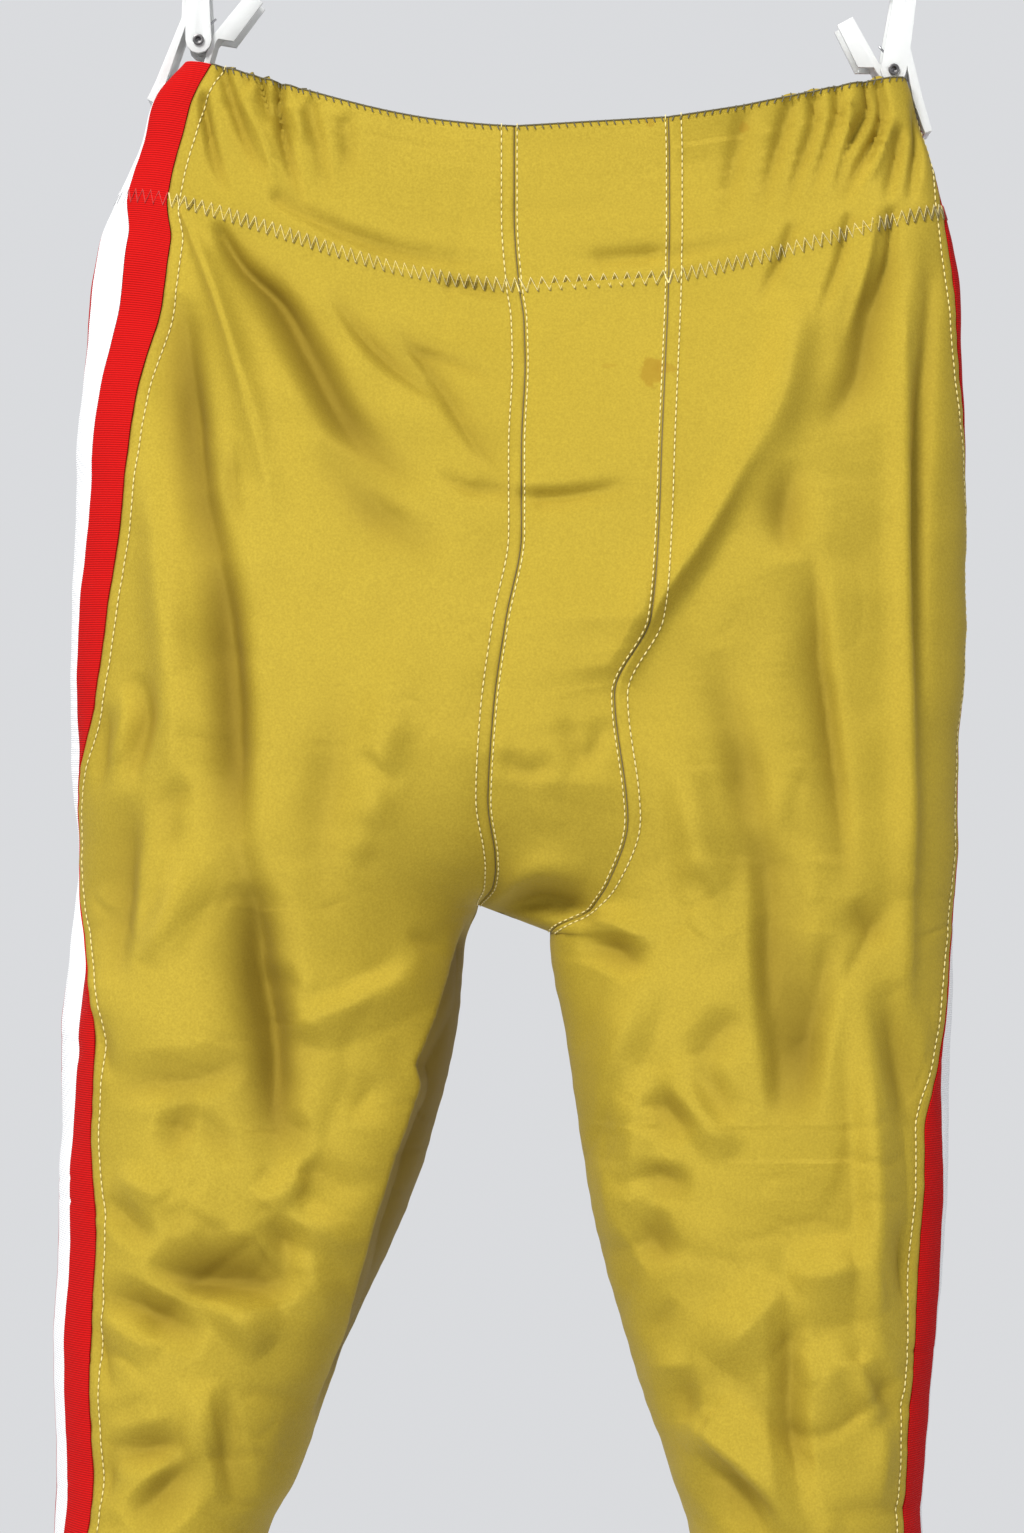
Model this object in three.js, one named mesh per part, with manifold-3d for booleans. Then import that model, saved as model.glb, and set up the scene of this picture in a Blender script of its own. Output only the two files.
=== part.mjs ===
// Football pants with side stripes, hung by the waistband from a two-clip hanger.
// Millimetres, +Z up. The front faces -Y and left means -X, as seen from the front.
// The origin is the inside top of the hanger's hook.

import * as THREE from 'three';
import { mergeVertices } from 'three/addons/utils/BufferGeometryUtils.js';
import Module from 'manifold-3d';

// Cloth sizes
const PANEL_WALL = 1.4;
const BAND_WALL = 2.6;
const STRIPE_WIDTH = 19;
const SEAM_GAP = 0.3;
const WAIST_MIDDLE = -6;
const WAIST_SAG_POWER = 1.4;
const ZIGZAG_SAG_POWER = { left: 1.9, right: 1.4 };
const CROTCH_ARCH = 150;
const GUSSET_TIP = 1;
const PANEL_BULGE = 1.5;

// Mesh steps
const RING_STEPS = 96;
const SLOPE_STEP = 0.6;
const FRONT_COLUMNS = 9;
const BACK_COLUMNS = 7;
const STRIPE_COLUMNS = 2;
const CENTRE_COLUMNS = 5;
const GATHER_STEP = 3.05;
const GATHER_REACH = 61;
const BAND_PLAIN_COLUMNS = 4;

// Hanger sizes
const HOOK_RADIUS = 22;
const HOOK_WIRE = 2;
const HOOK_SHANK = [[0, -62], [3, -50], [15, -39]];
const HOOK_TURN = { from: -25, to: 200, step: 25 };
const BAR_HEIGHT = 12;
const BAR_DEPTH = 8;
const BAR_ROUND = 3;
const BAR_TOP = -89;
const BAR_PAST_ARM = 2;
const BOSS_RADIUS = 6;
const BOSS_TAPER = 1;
const BOSS_HEIGHT = 8;
const BOSS_SUNK = 1;
const SOCKET_DEPTH = 7.5;

// Clip sizes
const CLIP_WIDTH = 22;
const CLIP_WALL = 2.6;
const EAR_RADIUS = 5.4;
const EAR_WALL = 2.6;
const ARM_HALF = 4.3;
const WEB_OFFSET = 5.7;
const WEB_BEND = 9;
const JAW_WIDTHS = [2.6, 2.6, 4, 3];
const LEVER_EAR = 3.8;
const ELBOW = [6, 0.6];
const KNEE = [2.9, 8];
const HANDLE_WIDTH = 7;
const HANDLE_END_WIDTH = 6;
const HANDLE_STARTS = [1, 5];
const HANDLE_WALL = 1.6;
const PIN_RADIUS = 1.6;
const PIN_HOLE = 1.9;
const PIN_HEAD = 2.4;
const PIN_HEAD_DEPTH = 1;
const PIN_BORE = 1.1;
const PIN_BORE_DEPTH = 2;
const SPRING_RADIUS = 3.1;
const SPRING_WIRE = 0.45;
const SPRING_TURNS = 2.5;
const SPRING_SPREAD = 2.4;
const SPRING_LEG = 12;

// Sections of each half, from the waist to the hem. z is the height at the side line, side the
// outer edge, front and back the edges beside the centre panel and the back seam, or the inner
// leg line below the crotch. fore and aft are depths, fold the Y of the side line, square the
// power of the rounded section, sag the drop at mid waist, seam the way round from the side line
// to the gold front's edge, red the way round that the front red strip takes, and tuck how deep
// the edge between red and white is folded in.
const COLUMNS = [
  'z', 'side', 'front', 'back', 'fore', 'aft', 'fold', 'square', 'sag', 'seam', 'red', 'tuck',
];
const LEFT_ROWS = [
  [-145, -150.5, -13, -19, 27, 27, 0, 7, 28.5, 31, 18.5, 0],
  [-160, -163, -13, -19, 26, 27, 0, 6, 32, 33, 18.5, 0],
  [-175, -168, -13, -19, 27, 28, 0, 5, 35, 33, 18, 0],
  [-200.5, -179.5, -11, -19, 31, 32, 1, 3.6, 39, 38, 19, 0],
  [-217, -186.5, -9, -19, 34, 35, 2, 3, 37, 46, 19, 0],
  [-242, -191, -8.5, -19, 40, 42, 3, 2.5, 31, 47, 19, 0],
  [-284, -195, -10, -19, 50, 52, 4, 2.3, 24, 43, 19, 0],
  [-326, -198, -10, -18, 55, 58, 5, 2.3, 17, 43, 19, 0],
  [-368, -199, -16.5, -17, 57, 61, 6, 2.3, 11, 39, 19, 0],
  [-410, -200, -21.5, -16, 57, 61, 7, 2.3, 6, 34, 17, 1],
  [-450, -198.5, -23.5, -20, 55, 58, 8, 2.3, 2, 20, 10, 5],
  [-477, -197, -20.5, -25, 53, 56, 9, 2.3, 0, 15, 9, 6],
  [-488, -197.5, -22.5, -27, 52, 55, 9, 2.2, 0, 16, 9, 6],
  [-496.4, -198, -28, -28, 52, 55, 9, 2.2, 0, 20, 10, 5],
  [-511, -200, -33.5, -33.5, 52, 54, 9, 2.2, 0, 30, 9, 5],
  [-553, -204, -37.5, -37.5, 52, 54, 9, 2.2, 0, 45, 14, 2],
  [-588, -204, -46, -46, 52, 53, 9, 2.2, 0, 44, 16, 1],
  [-628, -205, -60, -60, 51, 53, 8, 2.2, 0, 49, 19, 0],
  [-680, -207, -84, -84, 51, 52, 8, 2.2, 0, 51, 19, 0],
  [-735, -206, -104, -104, 51, 52, 7, 2.2, 0, 53, 19, 0],
  [-762, -206.5, -117, -117, 51, 52, 6, 2.1, 0, 51, 19, 0],
  [-810, -206.5, -124, -124, 50, 52, 5, 2.1, 0, 48, 19, 0],
  [-920, -204, -121, -121, 46, 48, 4, 2, 0, 44, 19, 0],
];
const RIGHT_ROWS = [
  [-152, 150, 50.5, -19, 27, 27, 0, 7, 21.5, 3, 19, 0],
  [-167, 156, 51, -19, 26, 27, -1, 6, 25, 3, 19, 0],
  [-183, 161, 51, -19, 27, 28, -2, 5, 30, 6, 19, 0],
  [-207, 167, 50.5, -19, 31, 32, -3, 3.6, 34, 12, 19, 0],
  [-221, 171, 50, -19, 34, 35, -4, 3, 33, 13, 19, 0],
  [-242, 173.5, 49, -19, 40, 42, -5, 2.5, 29, 12, 19, 0],
  [-284, 174.5, 47, -19, 50, 52, -6, 2.3, 23, 9, 19, 0],
  [-326, 175.2, 45.5, -18, 55, 58, -7, 2.3, 16.5, 3, 19, 0],
  [-368, 175.5, 42, -17, 57, 61, -8, 2.3, 10.5, 0, 18, 0],
  [-403, 174.5, 27.5, -15, 57, 61, -8, 2.3, 6, 3, 14, 2],
  [-458, 172, 33, -9, 55, 58, -8, 2.3, 2, 9, 10, 5],
  [-484, 172.3, 26, -2, 53, 56, -8, 2.3, 0, 11, 9, 6],
  [-496, 172, 18, 0, 52, 55, -8, 2.2, 0, 12, 9, 6],
  [-507.4, 171.5, 2, 2, 52, 55, -8, 2.2, 0, 13, 9, 6],
  [-522, 171, 3, 3, 52, 54, -8, 2.2, 0, 15, 10, 6],
  [-556, 169.5, 9.5, 9.5, 52, 54, -8, 2.2, 0, 20, 12, 4],
  [-592, 168.5, 14.5, 14.5, 52, 53, -8, 2.2, 0, 30, 15, 1],
  [-632, 166.8, 21.5, 21.5, 51, 53, -8, 2.2, 0, 30, 16, 0],
  [-680, 163, 35, 35, 51, 52, -7, 2.2, 0, 30, 19, 0],
  [-720, 159.5, 48, 48, 51, 52, -6, 2.2, 0, 31, 19, 0],
  [-760, 158.3, 61, 61, 51, 52, -5, 2.1, 0, 32, 19, 0],
  [-810, 157.5, 67, 67, 50, 52, -4, 2.1, 0, 31, 19, 0],
  [-920, 157, 70, 70, 46, 48, -3, 2, 0, 30, 19, 0],
];
const ZIGZAG_ROW = 3;
const TIP_ROW = 8.9;
const CROTCH_ROW = 13;
const HEM_ROW = LEFT_ROWS.length - 1;

// Rows of the mesh, counted along the sections above
const BAND_ROWS = [0, 0.5, 1, 1.6, 2.3, ZIGZAG_ROW];
const LEG_ROWS = [
  ZIGZAG_ROW, 4, 4.7, 5.4, 5.9, 6.4, 6.9, 7.4, 7.9, 8.4, TIP_ROW, 9.3, 9.65,
];
const LOW_ROWS = [
  14, 14.5, 15, 15.5, 16, 16.5, 17, 17.5, 18, 18.6, 19.3, 20, 20.7, 21.3, HEM_ROW,
];
const ARCH_TURNS = [66, 52, 38, 22, 0];

// Gathers of the waistband, as distances from the side line
const GATHER_HEIGHT = 1.8;
const GATHER_SPREAD = 2.9;
const GATHER_END_SHARE = 0.35;
const GATHERS = {
  left: [36, 45, 55, 64, 75, 86, -36, -46, -57, -69, -80, -92],
  right: [18, 27, 36, 46, 57, 67, -64, -73, -84, -95, -106],
};

// Largest folds, as strokes across the front or back. A height below zero is a trough.
const FOLD_END = 0.1;
const FOLD_COLUMNS = ['face', 'x0', 'z0', 'x1', 'z1', 'width', 'height'];
const FOLDS = [
  ['front', -150, -250, -143, -380, 13, -5],
  ['front', -143, -350, -124, -560, 13, -5],
  ['front', -124, -500, -113, -612, 8, -4],
  ['front', -124, -215, -112, -390, 12, 3],
  ['front', -128, -222, -88, -290, 9, -3],
  ['front', -66, -248, -20, -330, 9, -3],
  ['front', -36, -505, -60, -565, 8, 3],
  ['front', -60, -565, -96, -700, 9, 4],
  ['front', -168, -652, -104, -652, 8, -4],
  ['front', -172, -668, -138, -682, 8, -3],
  ['front', -150, -462, -163, -540, 9, -3],
  ['front', 79, -312, 30, -408, 9, 5],
  ['front', 142, -222, 112, -300, 11, -3],
  ['front', 149, -225, 150, -590, 7, 4],
  ['front', 158, -225, 158, -330, 7, -4],
  ['front', 98, -310, 96, -440, 12, -5],
  ['front', 108, -400, 106, -540, 13, -4],
  ['front', 121, -430, 133, -700, 9, 3],
  ['front', 100, -640, 104, -780, 8, -3],
  ['front', 60, -720, 108, -770, 9, 4],
  ['back', -130, -260, -105, -420, 14, -4],
  ['back', -40, -300, -46, -430, 13, 3],
  ['back', -30, -470, -120, -400, 10, -4],
  ['back', -45, -510, -130, -560, 9, -3],
  ['back', -160, -640, -95, -655, 8, -4],
  ['back', -130, -560, -140, -760, 10, 3],
  ['back', 20, -310, 24, -430, 13, 3],
  ['back', 120, -250, 96, -410, 14, -4],
  ['back', 12, -480, 100, -405, 10, -4],
  ['back', 15, -520, 110, -560, 9, -3],
  ['back', 60, -650, 130, -640, 8, -4],
  ['back', 110, -560, 112, -760, 10, 3],
];

const material = (name, color, roughness, metalness) => {
  const made = new THREE.MeshStandardMaterial({ color, roughness, metalness });
  made.name = name;
  return made;
};
const GOLD = material('gold_satin', 0xc9b04c, 0.42, 0);
const RED = material('red_rib', 0xd2150f, 0.85, 0);
const WHITE = material('white_rib', 0xf3f3f1, 0.85, 0);
const PLASTIC = material('white_plastic', 0xeeefee, 0.4, 0);
const STEEL = material('steel', 0x8d8f93, 0.35, 1);

const garment = new THREE.Group();

function addMesh(name, geometry, look) {
  const mesh = new THREE.Mesh(geometry, look);
  mesh.name = name;
  garment.add(mesh);
}

// Smooth curve through a table's column, without overshoot between its rows
function columnCurve(rows, key) {
  const place = COLUMNS.indexOf(key);
  const heights = rows.map((row) => row[0]);
  const values = rows.map((row) => row[place]);
  const chords = [];
  for (let i = 0; i < rows.length - 1; i += 1) {
    chords.push((values[i + 1] - values[i]) / (heights[i + 1] - heights[i]));
  }
  const slopes = values.map((_, i) => {
    const before = chords[Math.max(i - 1, 0)];
    const after = chords[Math.min(i, chords.length - 1)];
    return before * after <= 0 ? 0 : (2 * before * after) / (before + after);
  });
  return (z) => {
    let i = 0;
    while (i < rows.length - 2 && z < heights[i + 1]) {
      i += 1;
    }
    const span = heights[i + 1] - heights[i];
    const t = THREE.MathUtils.clamp((z - heights[i]) / span, 0, 1);
    const rest = 1 - t;
    return values[i] * rest * rest * (1 + 2 * t)
      + slopes[i] * span * t * rest * rest
      + values[i + 1] * t * t * (3 - 2 * t)
      - slopes[i + 1] * span * t * t * rest;
  };
}

function makeHalf(name, rows) {
  const half = { name, rows, rings: new Map() };
  for (const key of COLUMNS.slice(1)) {
    half[key] = columnCurve(rows, key);
  }
  half.crotch = rows[CROTCH_ROW][0];
  return half;
}
const LEFT = makeHalf('left', LEFT_ROWS);
const RIGHT = makeHalf('right', RIGHT_ROWS);

// Height at a place along a half's table of sections
function heightAt(half, place) {
  const i = Math.min(Math.floor(place), half.rows.length - 2);
  return THREE.MathUtils.lerp(half.rows[i][0], half.rows[i + 1][0], place - i);
}

// Turn of the section where it stops beside the centre panel: 90 is the flat front, 0 the
// closed inner leg
function openTurn(half, z) {
  const rise = THREE.MathUtils.clamp((z - half.crotch) / CROTCH_ARCH, 0, 1);
  return Math.acos((1 - rise) ** 2);
}

// Half of a section from the side line to its front or back edge, with the way along it
function arcOf(half, z, face) {
  const open = openTurn(half, z);
  const power = half.square(z);
  const side = half.side(z);
  const fold = half.fold(z);
  const edge = face === 'front' ? half.front(z) : half.back(z);
  const reach = face === 'front' ? -half.fore(z) - fold : half.aft(z) - fold;
  const unit = (turn) => {
    const c = Math.cos(turn);
    const s = Math.sin(turn);
    const scale = (Math.abs(c) ** power + Math.abs(s) ** power) ** (-1 / power);
    return { c: c * scale, s: s * scale };
  };
  const width = (edge - side) / (1 + unit(open).c);
  const points = [];
  let along = 0;
  for (let i = 0; i <= RING_STEPS; i += 1) {
    const { c, s } = unit(THREE.MathUtils.lerp(Math.PI, open, i / RING_STEPS));
    const x = side + width * (1 + c);
    const y = fold + reach * s;
    if (i > 0) {
      along += Math.hypot(x - points[i - 1].x, y - points[i - 1].y);
    }
    points.push({ x, y, along });
  }
  return points;
}

function ringAt(half, z) {
  const key = z.toFixed(3);
  if (!half.rings.has(key)) {
    half.rings.set(key, { front: arcOf(half, z, 'front'), back: arcOf(half, z, 'back') });
  }
  return half.rings.get(key);
}

// Point of a section at a way round from the side line, above zero to the front
function onRing(ring, way) {
  const points = way >= 0 ? ring.front : ring.back;
  const target = Math.abs(way);
  let i = 1;
  while (i < points.length - 1 && points[i].along < target) {
    i += 1;
  }
  const before = points[i - 1];
  const after = points[i];
  const t = (target - before.along) / (after.along - before.along);
  return {
    x: THREE.MathUtils.lerp(before.x, after.x, t),
    y: THREE.MathUtils.lerp(before.y, after.y, t),
  };
}

const bump = (distance, spread) => Math.exp(-((distance / spread) ** 2));

// Height of the largest folds over a point
function foldLift(face, x, z) {
  let lift = 0;
  for (const row of FOLDS) {
    const fold = Object.fromEntries(FOLD_COLUMNS.map((key, i) => [key, row[i]]));
    if (fold.face === face) {
      const dx = fold.x1 - fold.x0;
      const dz = fold.z1 - fold.z0;
      const raw = ((x - fold.x0) * dx + (z - fold.z0) * dz) / (dx * dx + dz * dz);
      const t = THREE.MathUtils.clamp(raw, 0, 1);
      const away = Math.hypot(x - fold.x0 - t * dx, z - fold.z0 - t * dz);
      const past = THREE.MathUtils.clamp(raw * (1 - 2 * FOLD_END) + FOLD_END, 0, 1);
      const taper = Math.sin(Math.PI * past);
      lift += fold.height * taper * bump(away, fold.width);
    }
  }
  return lift;
}

// Share of the way down from the waist to the zigzag
function bandShare(half, z) {
  const top = half.rows[0][0];
  const bottom = half.rows[ZIGZAG_ROW][0];
  return THREE.MathUtils.clamp((top - z) / (top - bottom), 0, 1);
}

// Waves of the gathered elastic, strongest half way down the waistband
function gatherLift(half, z, way) {
  const ends = GATHER_END_SHARE;
  const strength = ends + (1 - ends) * Math.sin(Math.PI * bandShare(half, z));
  let lift = 0;
  for (const at of GATHERS[half.name]) {
    lift += GATHER_HEIGHT * strength * bump(way - at, GATHER_SPREAD);
  }
  return lift;
}

// Depth of the tuck along the edge between the front red strip and the white one
function tuckLift(half, z, way) {
  const edge = half.seam(z) - half.red(z);
  const spread = way > edge ? half.red(z) : STRIPE_WIDTH / 2;
  return -half.tuck(z) * Math.max(0, 1 - Math.abs(way - edge) / spread);
}

// Outer point of the cloth and its level outward direction
function clothPoint(half, z, way, isBand) {
  const ring = ringAt(half, z);
  const last = { front: ring.front.at(-1).along, back: ring.back.at(-1).along };
  const ahead = onRing(ring, Math.min(way + SLOPE_STEP, last.front));
  const behind = onRing(ring, Math.max(way - SLOPE_STEP, -last.back));
  const tangent = new THREE.Vector2(ahead.x - behind.x, ahead.y - behind.y).normalize();
  const outward = half === LEFT ? 1 : -1;
  const normal = new THREE.Vector3(tangent.y * outward, -tangent.x * outward, 0);
  const { x, y } = onRing(ring, way);
  const side = half.side(z) - WAIST_MIDDLE;
  const across = THREE.MathUtils.clamp((x - WAIST_MIDDLE) / side, -1, 1);
  const power = THREE.MathUtils.lerp(WAIST_SAG_POWER, ZIGZAG_SAG_POWER[half.name], bandShare(half, z));
  const height = z - half.sag(z) * (1 - across * across) ** power;
  const face = way >= 0 ? 'front' : 'back';
  const lift = isBand
    ? gatherLift(half, z, way)
    : foldLift(face, x, height) * Math.abs(normal.y) + tuckLift(half, z, way);
  const point = new THREE.Vector3(x, y, height).addScaledVector(normal, lift);
  return { point, normal };
}

// Closed wall from a grid of outer points and outward directions
function wallGeometry(grid, wall) {
  const rows = grid.length;
  const columns = grid[0].length;
  const positions = [];
  for (const depth of [0, wall]) {
    for (const row of grid) {
      for (const { point, normal } of row) {
        positions.push(...point.clone().addScaledVector(normal, -depth).toArray());
      }
    }
  }
  const inner = rows * columns;
  const at = (r, c) => r * columns + c;
  const faces = [];
  const quad = (a, b, c, d) => faces.push(a, b, c, a, c, d);
  for (let r = 0; r < rows - 1; r += 1) {
    for (let c = 0; c < columns - 1; c += 1) {
      quad(at(r, c), at(r, c + 1), at(r + 1, c + 1), at(r + 1, c));
      quad(inner + at(r, c), inner + at(r + 1, c), inner + at(r + 1, c + 1), inner + at(r, c + 1));
    }
  }
  for (let c = 0; c < columns - 1; c += 1) {
    quad(at(0, c), inner + at(0, c), inner + at(0, c + 1), at(0, c + 1));
    quad(at(rows - 1, c + 1), inner + at(rows - 1, c + 1), inner + at(rows - 1, c), at(rows - 1, c));
  }
  for (let r = 0; r < rows - 1; r += 1) {
    quad(at(r + 1, 0), inner + at(r + 1, 0), inner + at(r, 0), at(r, 0));
    quad(at(r, columns - 1), inner + at(r, columns - 1), inner + at(r + 1, columns - 1),
      at(r + 1, columns - 1));
  }
  const geometry = new THREE.BufferGeometry();
  geometry.setAttribute('position', new THREE.Float32BufferAttribute(positions, 3));
  geometry.setIndex(faces);
  return facingOut(geometry);
}

// Turn the faces round where they point inwards
function facingOut(geometry) {
  const position = geometry.getAttribute('position');
  const index = geometry.getIndex();
  const [a, b, c] = [new THREE.Vector3(), new THREE.Vector3(), new THREE.Vector3()];
  let volume = 0;
  for (let i = 0; i < index.count; i += 3) {
    a.fromBufferAttribute(position, index.getX(i));
    b.fromBufferAttribute(position, index.getX(i + 1));
    c.fromBufferAttribute(position, index.getX(i + 2));
    volume += a.dot(b.cross(c));
  }
  if (volume < 0) {
    const turned = Array.from(index.array);
    for (let i = 0; i < turned.length; i += 3) {
      [turned[i], turned[i + 1]] = [turned[i + 1], turned[i]];
    }
    geometry.setIndex(turned);
  }
  return geometry;
}

// Edges between the cut pieces of a half, from the back seam round the side to the front seam
function seamWays(half, z) {
  const ring = ringAt(half, z);
  const seam = half.seam(z);
  const whiteEdge = seam - half.red(z);
  return [
    -ring.back.at(-1).along,
    whiteEdge - 2 * STRIPE_WIDTH,
    whiteEdge - STRIPE_WIDTH,
    whiteEdge,
    seam,
    ring.front.at(-1).along,
  ];
}

// Heights of a piece's rows, pulled in by half a seam gap at the ends that are sewn
function rowHeights(half, places, sewnTop, sewnBottom) {
  return places.map((place, i) => {
    const z = heightAt(half, place);
    if (sewnTop && i === 0) {
      return z - SEAM_GAP / 2;
    }
    return sewnBottom && i === places.length - 1 ? z + SEAM_GAP / 2 : z;
  });
}

const evenShares = (count) => Array.from({ length: count + 1 }, (_, i) => i / count);

// Shares across a waistband piece, with close steps over the gathers beside the stripes
function bandShares(length, fromStart) {
  const fine = Math.round(GATHER_REACH / GATHER_STEP);
  const shares = [];
  for (let i = 0; i <= fine; i += 1) {
    shares.push((i * GATHER_STEP) / length);
  }
  for (let i = 1; i <= BAND_PLAIN_COLUMNS; i += 1) {
    shares.push(THREE.MathUtils.lerp(shares[fine], 1, i / BAND_PLAIN_COLUMNS));
  }
  return fromStart ? shares : shares.map((share) => 1 - share).reverse();
}

// One cut piece of a half, between two of its seam lines
function halfPiece(half, name, slot, heights, shares, isBand, look) {
  const grid = heights.map((z) => {
    const seams = seamWays(half, z);
    const start = seams[slot] + SEAM_GAP / 2;
    const end = seams[slot + 1] - SEAM_GAP / 2;
    const ways = shares.map((share) => THREE.MathUtils.lerp(start, end, share));
    return ways.map((way) => clothPoint(half, z, way, isBand));
  });
  addMesh(name, wallGeometry(grid, isBand ? BAND_WALL : PANEL_WALL), look);
}

function archPlaces(half) {
  return ARCH_TURNS.map((degrees) => {
    const rise = 1 - Math.sqrt(Math.cos(THREE.MathUtils.degToRad(degrees)));
    return half.crotch + CROTCH_ARCH * rise;
  });
}

function legHeights(half) {
  const upper = rowHeights(half, LEG_ROWS, true, false);
  const lower = LOW_ROWS.map((place) => heightAt(half, place));
  return [...upper, ...archPlaces(half), ...lower];
}

function addHalf(half) {
  const { name } = half;
  const bandHeights = rowHeights(half, BAND_ROWS, false, true);
  const legs = legHeights(half);
  const middle = bandHeights[2];
  const ways = seamWays(half, middle);
  const stripes = evenShares(STRIPE_COLUMNS);
  const bandFront = bandShares(ways[5] - ways[4], true);
  const bandBack = bandShares(ways[1] - ways[0], false);
  halfPiece(half, `waistband_back_${name}`, 0, bandHeights, bandBack, true, GOLD);
  halfPiece(half, `waistband_${name}_back_red`, 1, bandHeights, stripes, true, RED);
  halfPiece(half, `waistband_${name}_white`, 2, bandHeights, stripes, true, WHITE);
  halfPiece(half, `waistband_${name}_front_red`, 3, bandHeights, stripes, true, RED);
  halfPiece(half, `waistband_front_${name}`, 4, bandHeights, bandFront, true, GOLD);
  halfPiece(half, `back_${name}`, 0, legs, evenShares(BACK_COLUMNS), false, GOLD);
  halfPiece(half, `stripe_${name}_back_red`, 1, legs, stripes, false, RED);
  halfPiece(half, `stripe_${name}_white`, 2, legs, stripes, false, WHITE);
  halfPiece(half, `stripe_${name}_front_red`, 3, legs, stripes, false, RED);
  halfPiece(half, `front_${name}`, 4, legs, evenShares(FRONT_COLUMNS), false, GOLD);
}

// Edge of the opening beside the centre panel, on the front or the back of a half
function openingEdge(half, z, face) {
  const ring = ringAt(half, z);
  const way = face === 'front' ? ring.front.at(-1).along : -ring.back.at(-1).along;
  return clothPoint(half, z, way, false).point;
}

// Grid of a strip between two lines of points, with outward directions from its own slopes
function stripGrid(leftLine, rightLine, columns, bulge) {
  const points = leftLine.map((left, i) => {
    const right = rightLine[i];
    const inset = SEAM_GAP / 2 / Math.max(left.distanceTo(right), GUSSET_TIP);
    return evenShares(columns).map((share) => {
      const across = THREE.MathUtils.lerp(inset, 1 - inset, share);
      const point = left.clone().lerp(right, across);
      point.y += bulge(i) * 4 * across * (1 - across);
      return point;
    });
  });
  return points.map((row, i) => row.map((point, j) => {
    const up = points[Math.max(i - 1, 0)][j];
    const down = points[Math.min(i + 1, points.length - 1)][j];
    const along = down.clone().sub(up);
    const across = row.at(-1).clone().sub(row[0]);
    return { point, normal: along.cross(across).normalize().negate() };
  }));
}

function addCentre() {
  const bandLeft = rowHeights(LEFT, BAND_ROWS, false, true);
  const bandRight = rowHeights(RIGHT, BAND_ROWS, false, true);
  const edgeLine = (half, heights, face) => heights.map((z) => openingEdge(half, z, face));
  const flat = () => 0;
  const band = stripGrid(
    edgeLine(LEFT, bandLeft, 'front'),
    edgeLine(RIGHT, bandRight, 'front'),
    CENTRE_COLUMNS,
    flat,
  );
  addMesh('waistband_centre', wallGeometry(band, BAND_WALL), GOLD);

  const frontHeights = (half) => [...rowHeights(half, LEG_ROWS, true, false), ...archPlaces(half)];
  const tipIndex = LEG_ROWS.indexOf(TIP_ROW);
  const backHeights = (half) => frontHeights(half).slice(tipIndex, -1).reverse();
  const line = (half) => [
    ...edgeLine(half, frontHeights(half), 'front'),
    ...edgeLine(half, backHeights(half), 'back'),
  ];
  const leftLine = line(LEFT);
  const rightLine = line(RIGHT);
  const frontCount = frontHeights(LEFT).length;
  const bulge = (i) => (i < frontCount - ARCH_TURNS.length ? -PANEL_BULGE : 0);
  const last = leftLine.length - 1;
  const tip = leftLine[last].clone().lerp(rightLine[last], 0.5);
  leftLine[last] = tip.clone().setX(tip.x - GUSSET_TIP / 2);
  rightLine[last] = tip.clone().setX(tip.x + GUSSET_TIP / 2);
  const panel = stripGrid(leftLine, rightLine, CENTRE_COLUMNS, bulge);
  addMesh('centre_panel', wallGeometry(panel, PANEL_WALL), GOLD);
}

addHalf(LEFT);
addHalf(RIGHT);
addCentre();

// Solids that are joined and cut
const wasm = await Module();
wasm.setup();

function toSolid(geometry) {
  const bare = geometry.clone();
  bare.deleteAttribute('normal');
  bare.deleteAttribute('uv');
  const merged = mergeVertices(bare, 1e-4);
  return new wasm.Manifold(new wasm.Mesh({
    numProp: 3,
    vertProperties: new Float32Array(merged.getAttribute('position').array),
    triVerts: new Uint32Array(merged.getIndex().array),
  }));
}

function toGeometry(solid) {
  const mesh = solid.getMesh();
  const geometry = new THREE.BufferGeometry();
  geometry.setAttribute('position', new THREE.BufferAttribute(mesh.vertProperties, 3));
  geometry.setIndex(new THREE.BufferAttribute(mesh.triVerts, 1));
  return geometry;
}

const joinSolids = (solids) => solids.reduce((sum, solid) => sum.add(solid));

// Plate of an outline drawn in X and Z, from y to y + depth
function plate(shape, y, depth) {
  const geometry = new THREE.ExtrudeGeometry(shape, { depth, bevelEnabled: false, curveSegments: 6 });
  geometry.rotateX(Math.PI / 2);
  geometry.translate(0, y + depth, 0);
  return toSolid(geometry);
}

// Outline of a band along a line of points, with its width at each
function bandShape(points, widths) {
  const sides = [[], []];
  points.forEach((point, i) => {
    const before = points[Math.max(i - 1, 0)];
    const after = points[Math.min(i + 1, points.length - 1)];
    const along = after.clone().sub(before).normalize();
    const normal = along.rotateAround(new THREE.Vector2(), Math.PI / 2);
    sides[0].push(point.clone().addScaledVector(normal, widths[i] / 2));
    sides[1].unshift(point.clone().addScaledVector(normal, -widths[i] / 2));
  });
  return new THREE.Shape([...sides[0], ...sides[1]]);
}

const discShape = (centre, radius) => {
  const shape = new THREE.Shape();
  shape.absarc(centre.x, centre.y, radius, 0, 2 * Math.PI, false);
  return shape;
};

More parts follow.
